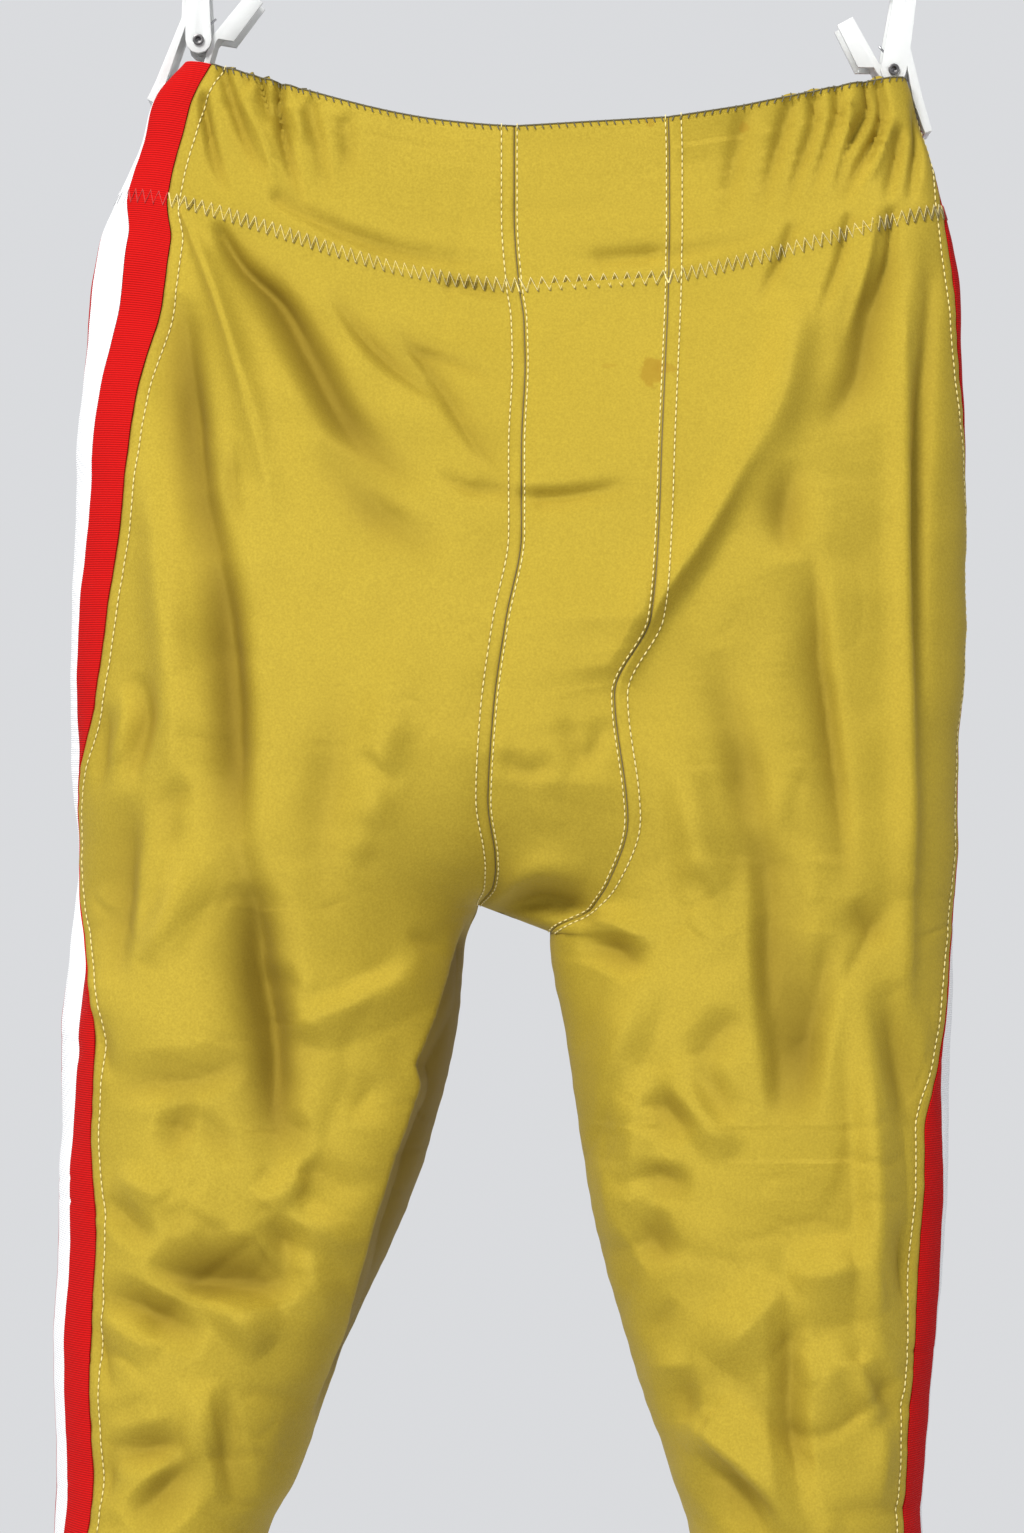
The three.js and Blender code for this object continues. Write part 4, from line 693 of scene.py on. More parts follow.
class Grid:
    """Outer points of a piece, their outward directions and their distances from its edges."""

    def __init__(self, point, normal, to_start, to_end, shade):
        self.point, self.normal = point, normal
        self.to_start, self.to_end = to_start, to_end
        self.shade = shade

    def down(self, distance, wanted, lift):
        """Line down the piece at a distance from one of its edges, lifted off its face."""
        line = []
        for row, out, away in zip(self.point, self.normal, distance):
            order = np.argsort(away)
            line.append([np.interp(wanted, away[order], (row + out * lift)[order, k]) for k in range(3)])
        return np.array(line)

    def across(self, distance, from_top, lift):
        """Line across the piece at a distance from its top or bottom edge, lifted off its face."""
        lifted = self.point + self.normal * lift
        rows = lifted[:ACROSS_ROWS] if from_top else lifted[:-ACROSS_ROWS - 1:-1]
        size = np.linalg.norm(np.diff(rows, axis=0), axis=2).cumsum(axis=0)
        size = np.concatenate([np.zeros((1, size.shape[1])), size])
        return np.array([[np.interp(distance, size[:, c], rows[:, c, k]) for k in range(3)]
                         for c in range(rows.shape[1])])


GRIDS = {}


def soft_rows(z, values, middle, spread, blur, share):
    """Values of each column evened out down the rows near one height."""
    step = np.abs(np.gradient(z))
    weight = np.exp(-((z[:, None] - z[None, :]) / blur) ** 2) * step
    even = (weight / weight.sum(axis=1, keepdims=True)) @ values
    share = share * bell(z - middle, spread)[:, None]
    return values * (1 - share) + even * share


def grid_normals(point):
    """Unit directions square to the slopes down and across a grid."""
    down = np.gradient(point, axis=0)
    across = np.gradient(point, axis=1)
    normal = np.cross(down, across)
    return normal / np.linalg.norm(normal, axis=2, keepdims=True)


def wall_object(name, point, wall, material, flip):
    """Closed thin shell from a grid of outer points in millimetres, with a UV map in metres."""
    rows, columns = point.shape[:2]
    normal = grid_normals(point) * flip
    vertices = np.concatenate([point.reshape(-1, 3), (point - normal * wall).reshape(-1, 3)]) * MM
    at = np.arange(rows * columns).reshape(rows, columns)
    inner = rows * columns

    def quads(a, b, c, d):
        return np.stack([a.ravel(), b.ravel(), c.ravel(), d.ravel()], axis=1)

    a, b, c, d = at[:-1, :-1], at[1:, :-1], at[1:, 1:], at[:-1, 1:]
    faces = [
        quads(a, b, c, d),
        quads(d + inner, c + inner, b + inner, a + inner),
        quads(at[0, 1:], at[0, 1:] + inner, at[0, :-1] + inner, at[0, :-1]),
        quads(at[-1, :-1], at[-1, :-1] + inner, at[-1, 1:] + inner, at[-1, 1:]),
        quads(at[:-1, 0], at[:-1, 0] + inner, at[1:, 0] + inner, at[1:, 0]),
        quads(at[1:, -1], at[1:, -1] + inner, at[:-1, -1] + inner, at[:-1, -1]),
    ]
    faces = np.concatenate(faces)
    if flip < 0:
        faces = faces[:, ::-1]
    across = np.linalg.norm(np.diff(point, axis=1), axis=2)
    along = np.linalg.norm(np.diff(point[:, columns // 2], axis=0), axis=1)
    u = np.concatenate([np.zeros((rows, 1)), np.cumsum(across, axis=1)], axis=1) * MM
    v = np.repeat(np.concatenate([[0], np.cumsum(along)])[:, None], columns, axis=1) * MM
    coordinates = np.tile(np.stack([u.ravel(), v.ravel()], axis=1), (2, 1))

    mesh = bpy.data.meshes.new(name)
    mesh.vertices.add(len(vertices))
    mesh.vertices.foreach_set("co", vertices.ravel())
    mesh.loops.add(faces.size)
    mesh.loops.foreach_set("vertex_index", faces.ravel())
    mesh.polygons.add(len(faces))
    mesh.polygons.foreach_set("loop_start", np.arange(len(faces)) * 4)
    mesh.polygons.foreach_set("loop_total", np.full(len(faces), 4))
    mesh.polygons.foreach_set("use_smooth", np.ones(len(faces), bool))
    layer = mesh.uv_layers.new(name="cut")
    layer.data.foreach_set("uv", coordinates[faces.ravel()].ravel())
    mesh.update(calc_edges=True)
    sharpen(mesh)
    obj = bpy.data.objects.new(name, mesh)
    bpy.context.scene.collection.objects.link(obj)
    mesh.materials.append(material)
    return obj


def add_shade(obj, shade):
    """Store the painted shade of the cloth at each point, the same on both faces of the wall."""
    layer = obj.data.attributes.new("painted_shade", "FLOAT", "POINT")
    layer.data.foreach_set("value", np.tile(shade.ravel(), 2))


def sharpen(mesh, degrees=75):
    """Sharp shading on edges that turn by more than an angle."""
    mesh.set_sharp_from_angle(angle=math.radians(degrees))


def edge_shares(length, step):
    """Shares across a piece, with fine steps over the first and last seam allowance."""
    fine = SEAM_ALLOWANCE
    edge = np.arange(0, fine, FINE_STEP)
    middle = np.linspace(fine, length - fine, max(2, round((length - 2 * fine) / step) + 1))
    return np.concatenate([edge, middle, length - edge[::-1]]) / length


def band_places():
    places = []
    for i in range(ZIGZAG_ROW):
        span = LEFT_ROWS[i][0] - LEFT_ROWS[i + 1][0]
        places += list(i + np.linspace(0, 1, round(span / BAND_ROW_STEP), endpoint=False))
    return places + [float(ZIGZAG_ROW)]


def leg_places():
    """Places along the sections: down to the crotch's arch, then from the crotch to the hem."""
    upper, lower = [], []
    i = ZIGZAG_ROW
    while i < 10:
        span = LEFT_ROWS[i][0] - LEFT_ROWS[i + 1][0]
        upper += list(i + np.linspace(0, 1, round(span / ROW_STEP), endpoint=False))
        i += 1
    upper = sorted({round(p, 4) for p in upper if p < ARCH_ROW - 0.03} | {TIP_ROW})
    for i in range(CROTCH_ROW, len(LEFT_ROWS) - 1):
        span = LEFT_ROWS[i][0] - LEFT_ROWS[i + 1][0]
        step = ROW_STEP if LEFT_ROWS[i][0] > PICTURE_BOTTOM else HEM_ROW_STEP
        lower += list(i + np.linspace(0, 1, round(span / step), endpoint=False))
    return upper, lower[1:] + [float(len(LEFT_ROWS) - 1)]


UPPER_PLACES, LOWER_PLACES = leg_places()
BAND_PLACES = band_places()


def arch_heights(half):
    turns = np.radians(np.linspace(ARCH_START, 0, ARCH_STEPS))
    return list(half.crotch + CROTCH_ARCH * (1 - np.sqrt(np.cos(turns))))


def upper_heights(half):
    heights = [half.height_at(p) for p in UPPER_PLACES]
    heights[0] -= SEAM_GAP / 2
    return heights + arch_heights(half)


def leg_heights(half):
    return upper_heights(half) + [half.height_at(p) for p in LOWER_PLACES]


def band_heights(half):
    heights = [half.height_at(p) for p in BAND_PLACES]
    heights[-1] += SEAM_GAP / 2
    return heights


# Materials
def new_material(name):
    material = bpy.data.materials.new(name)
    material.use_nodes = True
    tree = material.node_tree
    tree.nodes.clear()
    output = tree.nodes.new("ShaderNodeOutputMaterial")
    surface = tree.nodes.new("ShaderNodeBsdfPrincipled")
    tree.links.new(surface.outputs[0], output.inputs["Surface"])
    return material, tree, surface


def add_node(tree, kind, inputs=None, **settings):
    node = tree.nodes.new(kind)
    for key, value in settings.items():
        setattr(node, key, value)
    for key, value in (inputs or {}).items():
        if isinstance(value, bpy.types.NodeSocket):
            tree.links.new(value, node.inputs[key])
        else:
            node.inputs[key].default_value = value
    return node


def maths(tree, operation, *values):
    return add_node(tree, "ShaderNodeMath", dict(enumerate(values)), operation=operation).outputs[0]


def mix_colour(tree, share, a, b, blend="MIX"):
    node = add_node(tree, "ShaderNodeMix", data_type="RGBA", blend_type=blend)
    for key, value in ((0, share), (6, a), (7, b)):
        if isinstance(value, bpy.types.NodeSocket):
            tree.links.new(value, node.inputs[key])
        else:
            node.inputs[key].default_value = value
    return node.outputs[2]


def new_group(name, inputs, outputs):
    """Shader node group with named inputs and outputs."""
    tree = bpy.data.node_groups.new(name, "ShaderNodeTree")
    for way, sockets in (("INPUT", inputs), ("OUTPUT", outputs)):
        for socket, kind in sockets:
            tree.interface.new_socket(socket, in_out=way, socket_type="NodeSocket" + kind)
    return tree, tree.nodes.new("NodeGroupInput").outputs, tree.nodes.new("NodeGroupOutput").inputs


def use_group(tree, group, **values):
    return add_node(tree, "ShaderNodeGroup", values, node_tree=group).outputs


def uneven_colour_group():
    """Two close colours in a soft uneven pattern."""
    tree, given, made = new_group("uneven_colour", (
        ("Light", "Color"), ("Dark", "Color"), ("Scale", "Float"), ("Detail", "Float"),
    ), (("Colour", "Color"),))
    place = add_node(tree, "ShaderNodeTexCoord").outputs["Object"]
    noise = add_node(tree, "ShaderNodeTexNoise", {
        "Vector": place, "Scale": given["Scale"], "Detail": given["Detail"]})
    tree.links.new(mix_colour(tree, noise.outputs[0], given["Dark"], given["Light"]), made["Colour"])
    return tree


def rib_group():
    """Ribs across a strip: their height, and their colour, which is darker in the hollows between ribs
    as painted shade.
    """
    tree, given, made = new_group("knit_ribs", (
        ("Light", "Color"), ("Dark", "Color"), ("Spacing", "Float"),
    ), (("Colour", "Color"), ("Height", "Float")))
    place = add_node(tree, "ShaderNodeTexCoord").outputs["UV"]
    along = add_node(tree, "ShaderNodeSeparateXYZ", {0: place})
    turn = maths(tree, "DIVIDE", 2 * math.pi, given["Spacing"])
    wave = maths(tree, "SINE", maths(tree, "MULTIPLY", along.outputs[1], turn))
    rib = maths(tree, "MULTIPLY_ADD", wave, 0.5, 0.5)
    tree.links.new(mix_colour(tree, rib, given["Dark"], given["Light"]), made["Colour"])
    tree.links.new(rib, made["Height"])
    return tree


# Stains on the front, millimetres
STAINS = (
    # x, z, half width, half height, strength
    (79, -160, 6.5, 2.6, 0.55),
    (82, -173, 2.6, 2.8, 0.6),
    (43, -170, 2.0, 4.0, 0.5),
    (43, -277, 4.0, 6.5, 0.7),
    (48, -275, 5.0, 2.2, 0.5),
    (25, -274, 3.0, 1.0, 0.3),
)


def stain_group():
    """Mask of a stain with an uneven edge, on the front only."""
    tree, given, made = new_group("stain", (
        ("Across", "Float"), ("Up", "Float"), ("Half Width", "Float"), ("Half Height", "Float"),
        ("Strength", "Float")), (("Mask", "Float"),))
    place = add_node(tree, "ShaderNodeTexCoord").outputs["Object"]
    ragged = add_node(tree, "ShaderNodeTexNoise", {"Vector": place, "Scale": 260.0, "Detail": 3.0})
    parts = add_node(tree, "ShaderNodeSeparateXYZ", {0: place})
    across = maths(tree, "SUBTRACT", parts.outputs[0], given["Across"])
    across = maths(tree, "DIVIDE", across, given["Half Width"])
    up = maths(tree, "SUBTRACT", parts.outputs[2], given["Up"])
    up = maths(tree, "DIVIDE", up, given["Half Height"])
    far = maths(tree, "SQRT", maths(tree, "ADD", maths(tree, "MULTIPLY", across, across),
                                    maths(tree, "MULTIPLY", up, up)))
    uneven = maths(tree, "MULTIPLY", maths(tree, "SUBTRACT", ragged.outputs[0], 0.5), 2.2)
    far = maths(tree, "ADD", far, uneven)
    soft = maths(tree, "MULTIPLY", maths(tree, "SUBTRACT", 1.15, far), 2.5)
    inside = maths(tree, "MINIMUM", maths(tree, "MAXIMUM", soft, 0.0), 1.0)
    front = maths(tree, "LESS_THAN", parts.outputs[1], 0.0)
    tree.links.new(maths(tree, "MULTIPLY", maths(tree, "MULTIPLY", inside, front), given["Strength"]),
                   made["Mask"])
    return tree


UNEVEN_COLOUR = uneven_colour_group()
KNIT_RIBS = rib_group()
STAIN = stain_group()


def gold_satin():
    material, tree, surface = new_material("gold_satin_cloth")
    coordinates = add_node(tree, "ShaderNodeTexCoord")
    place = coordinates.outputs["Object"]
    cloudy = add_node(tree, "ShaderNodeTexNoise", {"Vector": place, "Scale": 9.0, "Detail": 3.0})
    grain = add_node(tree, "ShaderNodeTexNoise", {"Vector": place, "Scale": 1100.0, "Detail": 2.0})
    base = mix_colour(tree, cloudy.outputs[0], (0.5, 0.365, 0.036, 1), (0.57, 0.425, 0.05, 1))
    base = mix_colour(tree, grain.outputs[0], base, (0.34, 0.24, 0.02, 1))
    # Painted shade: the stored shade turns the satin dark brown in troughs, on the turned-away side and
    # at the sewing.
    painted_shade = add_node(tree, "ShaderNodeAttribute", attribute_name="painted_shade").outputs["Fac"]
    base = mix_colour(tree, painted_shade, base, (0.16, 0.1, 0.01, 1))
    for x, z, wide, high, strength in STAINS:
        mask = use_group(tree, STAIN, **{
            "Across": x * MM, "Up": z * MM, "Half Width": wide * MM, "Half Height": high * MM,
            "Strength": strength})["Mask"]
        base = mix_colour(tree, mask, base, (0.34, 0.2, 0.015, 1))
    tree.links.new(base, surface.inputs["Base Color"])
    separate = add_node(tree, "ShaderNodeSeparateXYZ", {0: coordinates.outputs["UV"]})
    warp = maths(tree, "SINE", maths(tree, "MULTIPLY", separate.outputs[0], 2 * math.pi / WARP_SPACING))
    weft = maths(tree, "SINE", maths(tree, "MULTIPLY", separate.outputs[1], 2 * math.pi / WEFT_SPACING))
    weave = maths(tree, "ADD", maths(tree, "MULTIPLY", warp, weft), grain.outputs[0])
    bump = add_node(tree, "ShaderNodeBump", {"Height": weave, "Strength": 0.6, "Distance": 0.0001})
    tree.links.new(bump.outputs[0], surface.inputs["Normal"])
    surface.inputs["Roughness"].default_value = 0.48
    surface.inputs["Metallic"].default_value = 0.3
    surface.inputs["Specular IOR Level"].default_value = 0.3
    surface.inputs["Specular Tint"].default_value = (1.0, 0.88, 0.5, 1)
    surface.inputs["Sheen Weight"].default_value = 0.04
    surface.inputs["Sheen Roughness"].default_value = 0.4
    surface.inputs["Sheen Tint"].default_value = (1.0, 0.9, 0.55, 1)
    return material


def rib_knit(name, light, dark):
    material, tree, surface = new_material(name)
    ribs = use_group(tree, KNIT_RIBS, Light=light, Dark=dark, Spacing=RIB_SPACING)
    tree.links.new(ribs["Colour"], surface.inputs["Base Color"])
    bump = add_node(tree, "ShaderNodeBump", {
        "Height": ribs["Height"], "Strength": 0.7, "Distance": 0.0003})
    tree.links.new(bump.outputs[0], surface.inputs["Normal"])
    surface.inputs["Roughness"].default_value = 0.85
    surface.inputs["Specular IOR Level"].default_value = 0.15
    return material


def uneven_material(name, light, dark, scale, detail, **settings):
    """Material in two close colours, with its other values set by name."""
    material, tree, surface = new_material(name)
    colour = use_group(tree, UNEVEN_COLOUR, Light=light, Dark=dark, Scale=scale, Detail=detail)["Colour"]
    tree.links.new(colour, surface.inputs["Base Color"])
    for key, value in settings.items():
        surface.inputs[key.replace("_", " ")].default_value = value
    return material


def white_plastic():
    return uneven_material(
        "clear_white_plastic", (0.9, 0.91, 0.9, 1), (0.84, 0.85, 0.84, 1), 120.0, 2.0, Roughness=0.32,
        Transmission_Weight=0.35, Subsurface_Weight=0.3, Subsurface_Radius=(0.004, 0.004, 0.004))


def steel(name, dark, light):
    return uneven_material(name, light, dark, 300.0, 2.0, Metallic=1.0, Roughness=0.32)


def thread(name, light, dark):
    return uneven_material(name, light, dark, 1500.0, 1.0, Roughness=0.55, Sheen_Weight=0.2)


GOLD = gold_satin()
# The second colour of each knit is painted shade in the hollows between its ribs.
RED = rib_knit("red_rib_knit", (0.6, 0.004, 0.003, 1), (0.36, 0.002, 0.002, 1))
WHITE = rib_knit("white_rib_knit", (0.95, 0.95, 0.95, 1), (0.86, 0.87, 0.88, 1))
PLASTIC = white_plastic()
STEEL = steel("bright_steel", (0.3, 0.3, 0.32, 1), (0.5, 0.5, 0.52, 1))
DARK_STEEL = steel("dark_steel", (0.1, 0.1, 0.11, 1), (0.2, 0.19, 0.18, 1))
GOLD_THREAD = thread("gold_thread", (0.85, 0.74, 0.34, 1), (0.68, 0.55, 0.18, 1))
# Not a thread: dark lines laid along the stitching as painted shadow of its grooves.
GROOVE_SHADOW = thread("painted_groove_shadow", (0.26, 0.19, 0.03, 1), (0.16, 0.11, 0.015, 1))
RED_THREAD = thread("red_thread", (0.6, 0.012, 0.008, 1), (0.35, 0.005, 0.004, 1))
WHITE_THREAD = thread("white_thread", (0.9, 0.9, 0.9, 1), (0.7, 0.7, 0.72, 1))
# Not a thread: a dark line laid in the seam gap beside the centre panels as painted shadow of the seam.
SEAM_SHADOW = thread("painted_seam_shadow", (0.13, 0.09, 0.012, 1), (0.07, 0.05, 0.008, 1))
# Dark thread for the stitches over the waist's front edge, and for a painted shadow line along that
# edge.
DARK_THREAD_AND_EDGE_SHADOW = thread("dark_thread", (0.12, 0.1, 0.04, 1), (0.06, 0.05, 0.02, 1))
SLOTS = {GOLD: "gold_satin", RED: "red_rib", WHITE: "white_rib"}


def finish_cloth(obj, node):
    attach(obj, "root")
    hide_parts(node)


def cut_piece(half, name, slot, is_band, material):
    heights = band_heights(half) if is_band else leg_heights(half)
    rx, ry, rw = half.ring(heights[len(heights) // 4])
    seams = half.seams(heights[len(heights) // 4], rw)
    length = seams[slot + 1] - seams[slot]
    if slot in (0, 4):
        step = BAND_STEP if is_band else (COLUMN_STEP if slot == 4 else BACK_STEP)
        shares = edge_shares(length, step)
    else:
        shares = np.linspace(0, 1, 9)
    grid = cloth_points(half, heights, shares, slot, is_band)
    wall = BAND_WALL if is_band else PANEL_WALL
    obj = wall_object(name, grid.point, wall, material, half.outward)
    add_shade(obj, grid.shade)
    return obj, grid.point


CUT_PIECES = (
    # node for the leg, node for the waistband, slot, material
    ("back_{0}", "waistband_back_{0}", 0, GOLD),
    ("stripe_{0}_back_red", "waistband_{0}_back_red", 1, RED),
    ("stripe_{0}_white", "waistband_{0}_white", 2, WHITE),
    ("stripe_{0}_front_red", "waistband_{0}_front_red", 3, RED),
    ("front_{0}", "waistband_front_{0}", 4, GOLD),
)
for half in (LEFT, RIGHT):
    for leg_node, band_node, slot, material in CUT_PIECES:
        for node, is_band in ((leg_node, False), (band_node, True)):
            node = node.format(half.name)
            obj, point = cut_piece(half, node + "_cloth", slot, is_band, material)
            finish_cloth(obj, node)


def opening_edge(half, heights, face):
    in_front = face == "front"
    shares = np.array([0.98, 1.0] if in_front else [0.0, 0.02])
    points = cloth_points(half, heights, shares, 4 if in_front else 0, False, keep=False).point
    return points[:, 1 if in_front else 0]


PANEL_GRIDS = []


def centre_grid(left, right, bulge):
    across = edge_shares(CENTRE_PANEL_WIDTH, BAND_STEP)
    size = np.linalg.norm(left - right, axis=1)
    inset = (SEAM_GAP / 2 / np.maximum(size, GUSSET_TIP))[:, None]
    share = inset + (1 - 2 * inset) * across
    point = left[:, None] * (1 - share[..., None]) + right[:, None] * share[..., None]
    point[..., 1] += bulge[:, None] * 4 * share * (1 - share)
    swell, swell_size, seed = CENTRE_SWELL
    lift = front_lift(*as_seen(point[..., 0], point[..., 1], point[..., 2]))
    nearest = np.minimum(share, 1 - share) * size[:, None]
    inside = np.clip(nearest / CENTRE_EDGE, 0, 1)
    lift = lift * inside + swell * soft_noise(point[..., 0], point[..., 2], swell_size, seed) * inside
    lift -= ROW_DIP * bell(nearest, 0.8)
    point[..., 1] -= np.where(point[..., 1] < 0, lift, 0)
    # Painted shade in the centre panel's troughs and along its seams.
    painted_shade = CENTRE_SHADE * np.clip(-lift / FULL_CENTRE_TROUGH, 0, 1) + SEAM_SHADE * bell(nearest, 0.5)
    start, end = share * size[:, None], (1 - share) * size[:, None]
    return Grid(point, grid_normals(point), start, end, painted_shade)


def centre_pieces():
    left = opening_edge(LEFT, band_heights(LEFT), "front")
    right = opening_edge(RIGHT, band_heights(RIGHT), "front")
    band = centre_grid(left, right, np.zeros(len(left)))
    PANEL_GRIDS.append(band)
    obj = wall_object("waistband_centre_cloth", band.point, BAND_WALL, GOLD, 1)
    add_shade(obj, band.shade)
    finish_cloth(obj, "waistband_centre")

    tip = UPPER_PLACES.index(TIP_ROW)
    lines = []
    for half in (LEFT, RIGHT):
        front = upper_heights(half)
        back = front[tip:-1][::-1]
        lines.append(np.vstack([opening_edge(half, front, "front"), opening_edge(half, back, "back")]))
    left, right = lines
    middle = (left[-1] + right[-1]) / 2
    left[-1] = middle - (GUSSET_TIP / 2, 0, 0)
    right[-1] = middle + (GUSSET_TIP / 2, 0, 0)
    bulge = np.zeros(len(left))
    bulge[:len(UPPER_PLACES)] = -PANEL_BULGE
    panel = centre_grid(left, right, bulge)
    PANEL_GRIDS.append(panel)
    obj = wall_object("centre_panel_cloth", panel.point, PANEL_WALL, GOLD, 1)
    add_shade(obj, panel.shade)
    finish_cloth(obj, "centre_panel")


centre_pieces()


# Sewing
def new_tree(name, sockets):
    """Node tree for geometry with one line going in and one mesh coming out."""
    tree = bpy.data.node_groups.new(name, "GeometryNodeTree")
    tree.interface.new_socket("Line", in_out="INPUT", socket_type="NodeSocketGeometry")
    for socket, kind in sockets:
        tree.interface.new_socket(socket, in_out="INPUT", socket_type=kind)
    tree.interface.new_socket("Sewing", in_out="OUTPUT", socket_type="NodeSocketGeometry")
    return tree, tree.nodes.new("NodeGroupInput"), tree.nodes.new("NodeGroupOutput")


def stitch_tree():
    """Even stitches along a line, each a small spindle with a little variation."""
    tree, start, end = new_tree("stitch_row", (
        ("Spacing", "NodeSocketFloat"), ("Length", "NodeSocketFloat"),
        ("Thickness", "NodeSocketFloat"), ("Thread", "NodeSocketMaterial")))
    path = add_node(tree, "GeometryNodeMeshToCurve", {0: start.outputs["Line"]})
    points = add_node(tree, "GeometryNodeCurveToPoints", {
        "Curve": path.outputs[0], "Length": start.outputs["Spacing"]}, mode="LENGTH")
    spindle = add_node(tree, "GeometryNodeMeshUVSphere", {"Segments": 6, "Rings": 4, "Radius": 0.5})
    turn = add_node(
        tree, "FunctionNodeAlignRotationToVector", {"Vector": points.outputs["Tangent"]}, axis="Z")
    random = add_node(tree, "FunctionNodeRandomValue", {2: 0.82, 3: 1.08, "Seed": 7}, data_type="FLOAT")
    long = maths(tree, "MULTIPLY", start.outputs["Length"], random.outputs[1])
    thick = start.outputs["Thickness"]
    size = add_node(tree, "ShaderNodeCombineXYZ", {0: thick, 1: thick, 2: long})
    copies = add_node(tree, "GeometryNodeInstanceOnPoints", {
        "Points": points.outputs["Points"], "Instance": spindle.outputs["Mesh"],
        "Rotation": turn.outputs[0], "Scale": size.outputs[0]})
    real = add_node(tree, "GeometryNodeRealizeInstances", {0: copies.outputs[0]})
    look = add_node(tree, "GeometryNodeSetMaterial", {"Geometry": real.outputs[0]})
    tree.links.new(start.outputs["Thread"], look.inputs["Material"])
    tree.links.new(look.outputs[0], end.inputs[0])
    return tree


def thread_tree():
    """A round thread along a line."""
    tree, start, end = new_tree("laid_thread", (
        ("Thickness", "NodeSocketFloat"), ("Thread", "NodeSocketMaterial")))
    path = add_node(tree, "GeometryNodeMeshToCurve", {0: start.outputs["Line"]})
    radius = maths(tree, "MULTIPLY", start.outputs["Thickness"], 0.5)
    circle = add_node(tree, "GeometryNodeCurvePrimitiveCircle", {"Resolution": 5, "Radius": radius})
    tube = add_node(tree, "GeometryNodeCurveToMesh", {
        "Curve": path.outputs[0], "Profile Curve": circle.outputs[0], "Fill Caps": True})
    real = add_node(tree, "GeometryNodeRealizeInstances", {0: tube.outputs[0]})
    look = add_node(tree, "GeometryNodeSetMaterial", {"Geometry": real.outputs[0]})
    tree.links.new(start.outputs["Thread"], look.inputs["Material"])
    tree.links.new(look.outputs[0], end.inputs[0])
    return tree


STITCHES = stitch_tree()
LAID_THREAD = thread_tree()


def sew(name, lines, tree, values):
    """Mesh of a node tree run over lines of points in millimetres."""
    mesh = bpy.data.meshes.new(name + "_line")
    count, edges = 0, []
    for line in lines:
        edges += [(count + i, count + i + 1) for i in range(len(line) - 1)]
        count += len(line)
    mesh.from_pydata((np.concatenate(lines) * MM).tolist(), edges, [])
    guide = bpy.data.objects.new(name + "_line", mesh)
    bpy.context.scene.collection.objects.link(guide)
    modifier = guide.modifiers.new("sewing", "NODES")
    modifier.node_group = tree
    for item in tree.interface.items_tree:
        if item.in_out == "INPUT" and item.name in values:
            modifier[item.identifier] = values[item.name]
    view = bpy.context.evaluated_depsgraph_get()
    made = bpy.data.meshes.new_from_object(guide.evaluated_get(view))
    bpy.data.objects.remove(guide)
    made.name = name
    made.materials.clear()
    made.materials.append(values["Thread"])
    made.polygons.foreach_set("material_index", np.zeros(len(made.polygons), np.int32))
    made.polygons.foreach_set("use_smooth", np.ones(len(made.polygons), bool))
    obj = bpy.data.objects.new(name, made)
    bpy.context.scene.collection.objects.link(obj)
    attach(obj, "root")
    return obj


def stitch_values(thread):
    return {"Spacing": STITCH_SPACING * MM, "Length": STITCH_LENGTH * MM, "Thickness": THREAD * MM,
            "Thread": thread}


def laid_values(thickness, thread):
    return {"Thickness": thickness * MM, "Thread": thread}


def sew_rows():
    """One row inside each gold edge that meets a stripe, double rows beside the centre panel."""
    seams, shades = [], []
    for half in (LEFT, RIGHT):
        for slot, side in ((4, "front"), (0, "back")):
            rows = []
            for is_band in (True, False):
                grid = GRIDS[half.name, slot, is_band]
                stripe_side = grid.to_start if slot == 4 else grid.to_end
                panel_side = grid.to_end if slot == 4 else grid.to_start
                stop = len(grid.point) if is_band else len(UPPER_PLACES) + ARCH_STEPS - 2
                rows.append(grid.down(stripe_side, ROW_DISTANCE, THREAD_LIFT))
                rows.append(grid.down(panel_side, ROW_DISTANCE, THREAD_LIFT)[:stop])
                # Dark lines just under the rows of stitches, painted shadow of their grooves.
                shades.append(grid.down(stripe_side, ROW_DISTANCE, SHADE_LIFT))
                shades.append(grid.down(panel_side, ROW_DISTANCE, SHADE_LIFT)[:stop])
                # A dark line laid in the seam gap, painted shadow of the seam.
                seams.append(grid.down(panel_side, 0.0, CENTRE_SEAM_DEPTH)[:stop])
            sew(f"stitches_{side}_{half.name}", rows, STITCHES, stitch_values(GOLD_THREAD))
    rows = []
    for grid in PANEL_GRIDS:
        wide = grid.to_start.max(axis=1) > ROOM_FOR_ROWS
        for distance in (grid.to_start, grid.to_end):
            rows.append(grid.down(distance, PANEL_ROW_DISTANCE, THREAD_LIFT)[wide])
            shades.append(grid.down(distance, PANEL_ROW_DISTANCE, SHADE_LIFT)[wide])
    sew("stitches_centre", rows, STITCHES, stitch_values(GOLD_THREAD))
    sew("stitch_groove_shadows", shades, LAID_THREAD, laid_values(STITCH_GROOVE, GROOVE_SHADOW))
    sew("centre_seam_shadows", seams, LAID_THREAD, laid_values(CENTRE_SEAM, SEAM_SHADOW))


def fold_seam():
    """Folded edges that close the seam under the waistband."""
    looks = (GOLD, RED, WHITE, RED, GOLD)
    lines = {GOLD: [PANEL_GRIDS[0].across(0.0, False, SEAM_FOLD_DEPTH)], RED: [], WHITE: []}
    for half in (LEFT, RIGHT):
        for slot, look in enumerate(looks):
            lines[look].append(GRIDS[half.name, slot, True].across(0.0, False, SEAM_FOLD_DEPTH))
    for look, slot in SLOTS.items():
        sew("seam_fold_" + slot, lines[look], LAID_THREAD, laid_values(SEAM_FOLD, look))


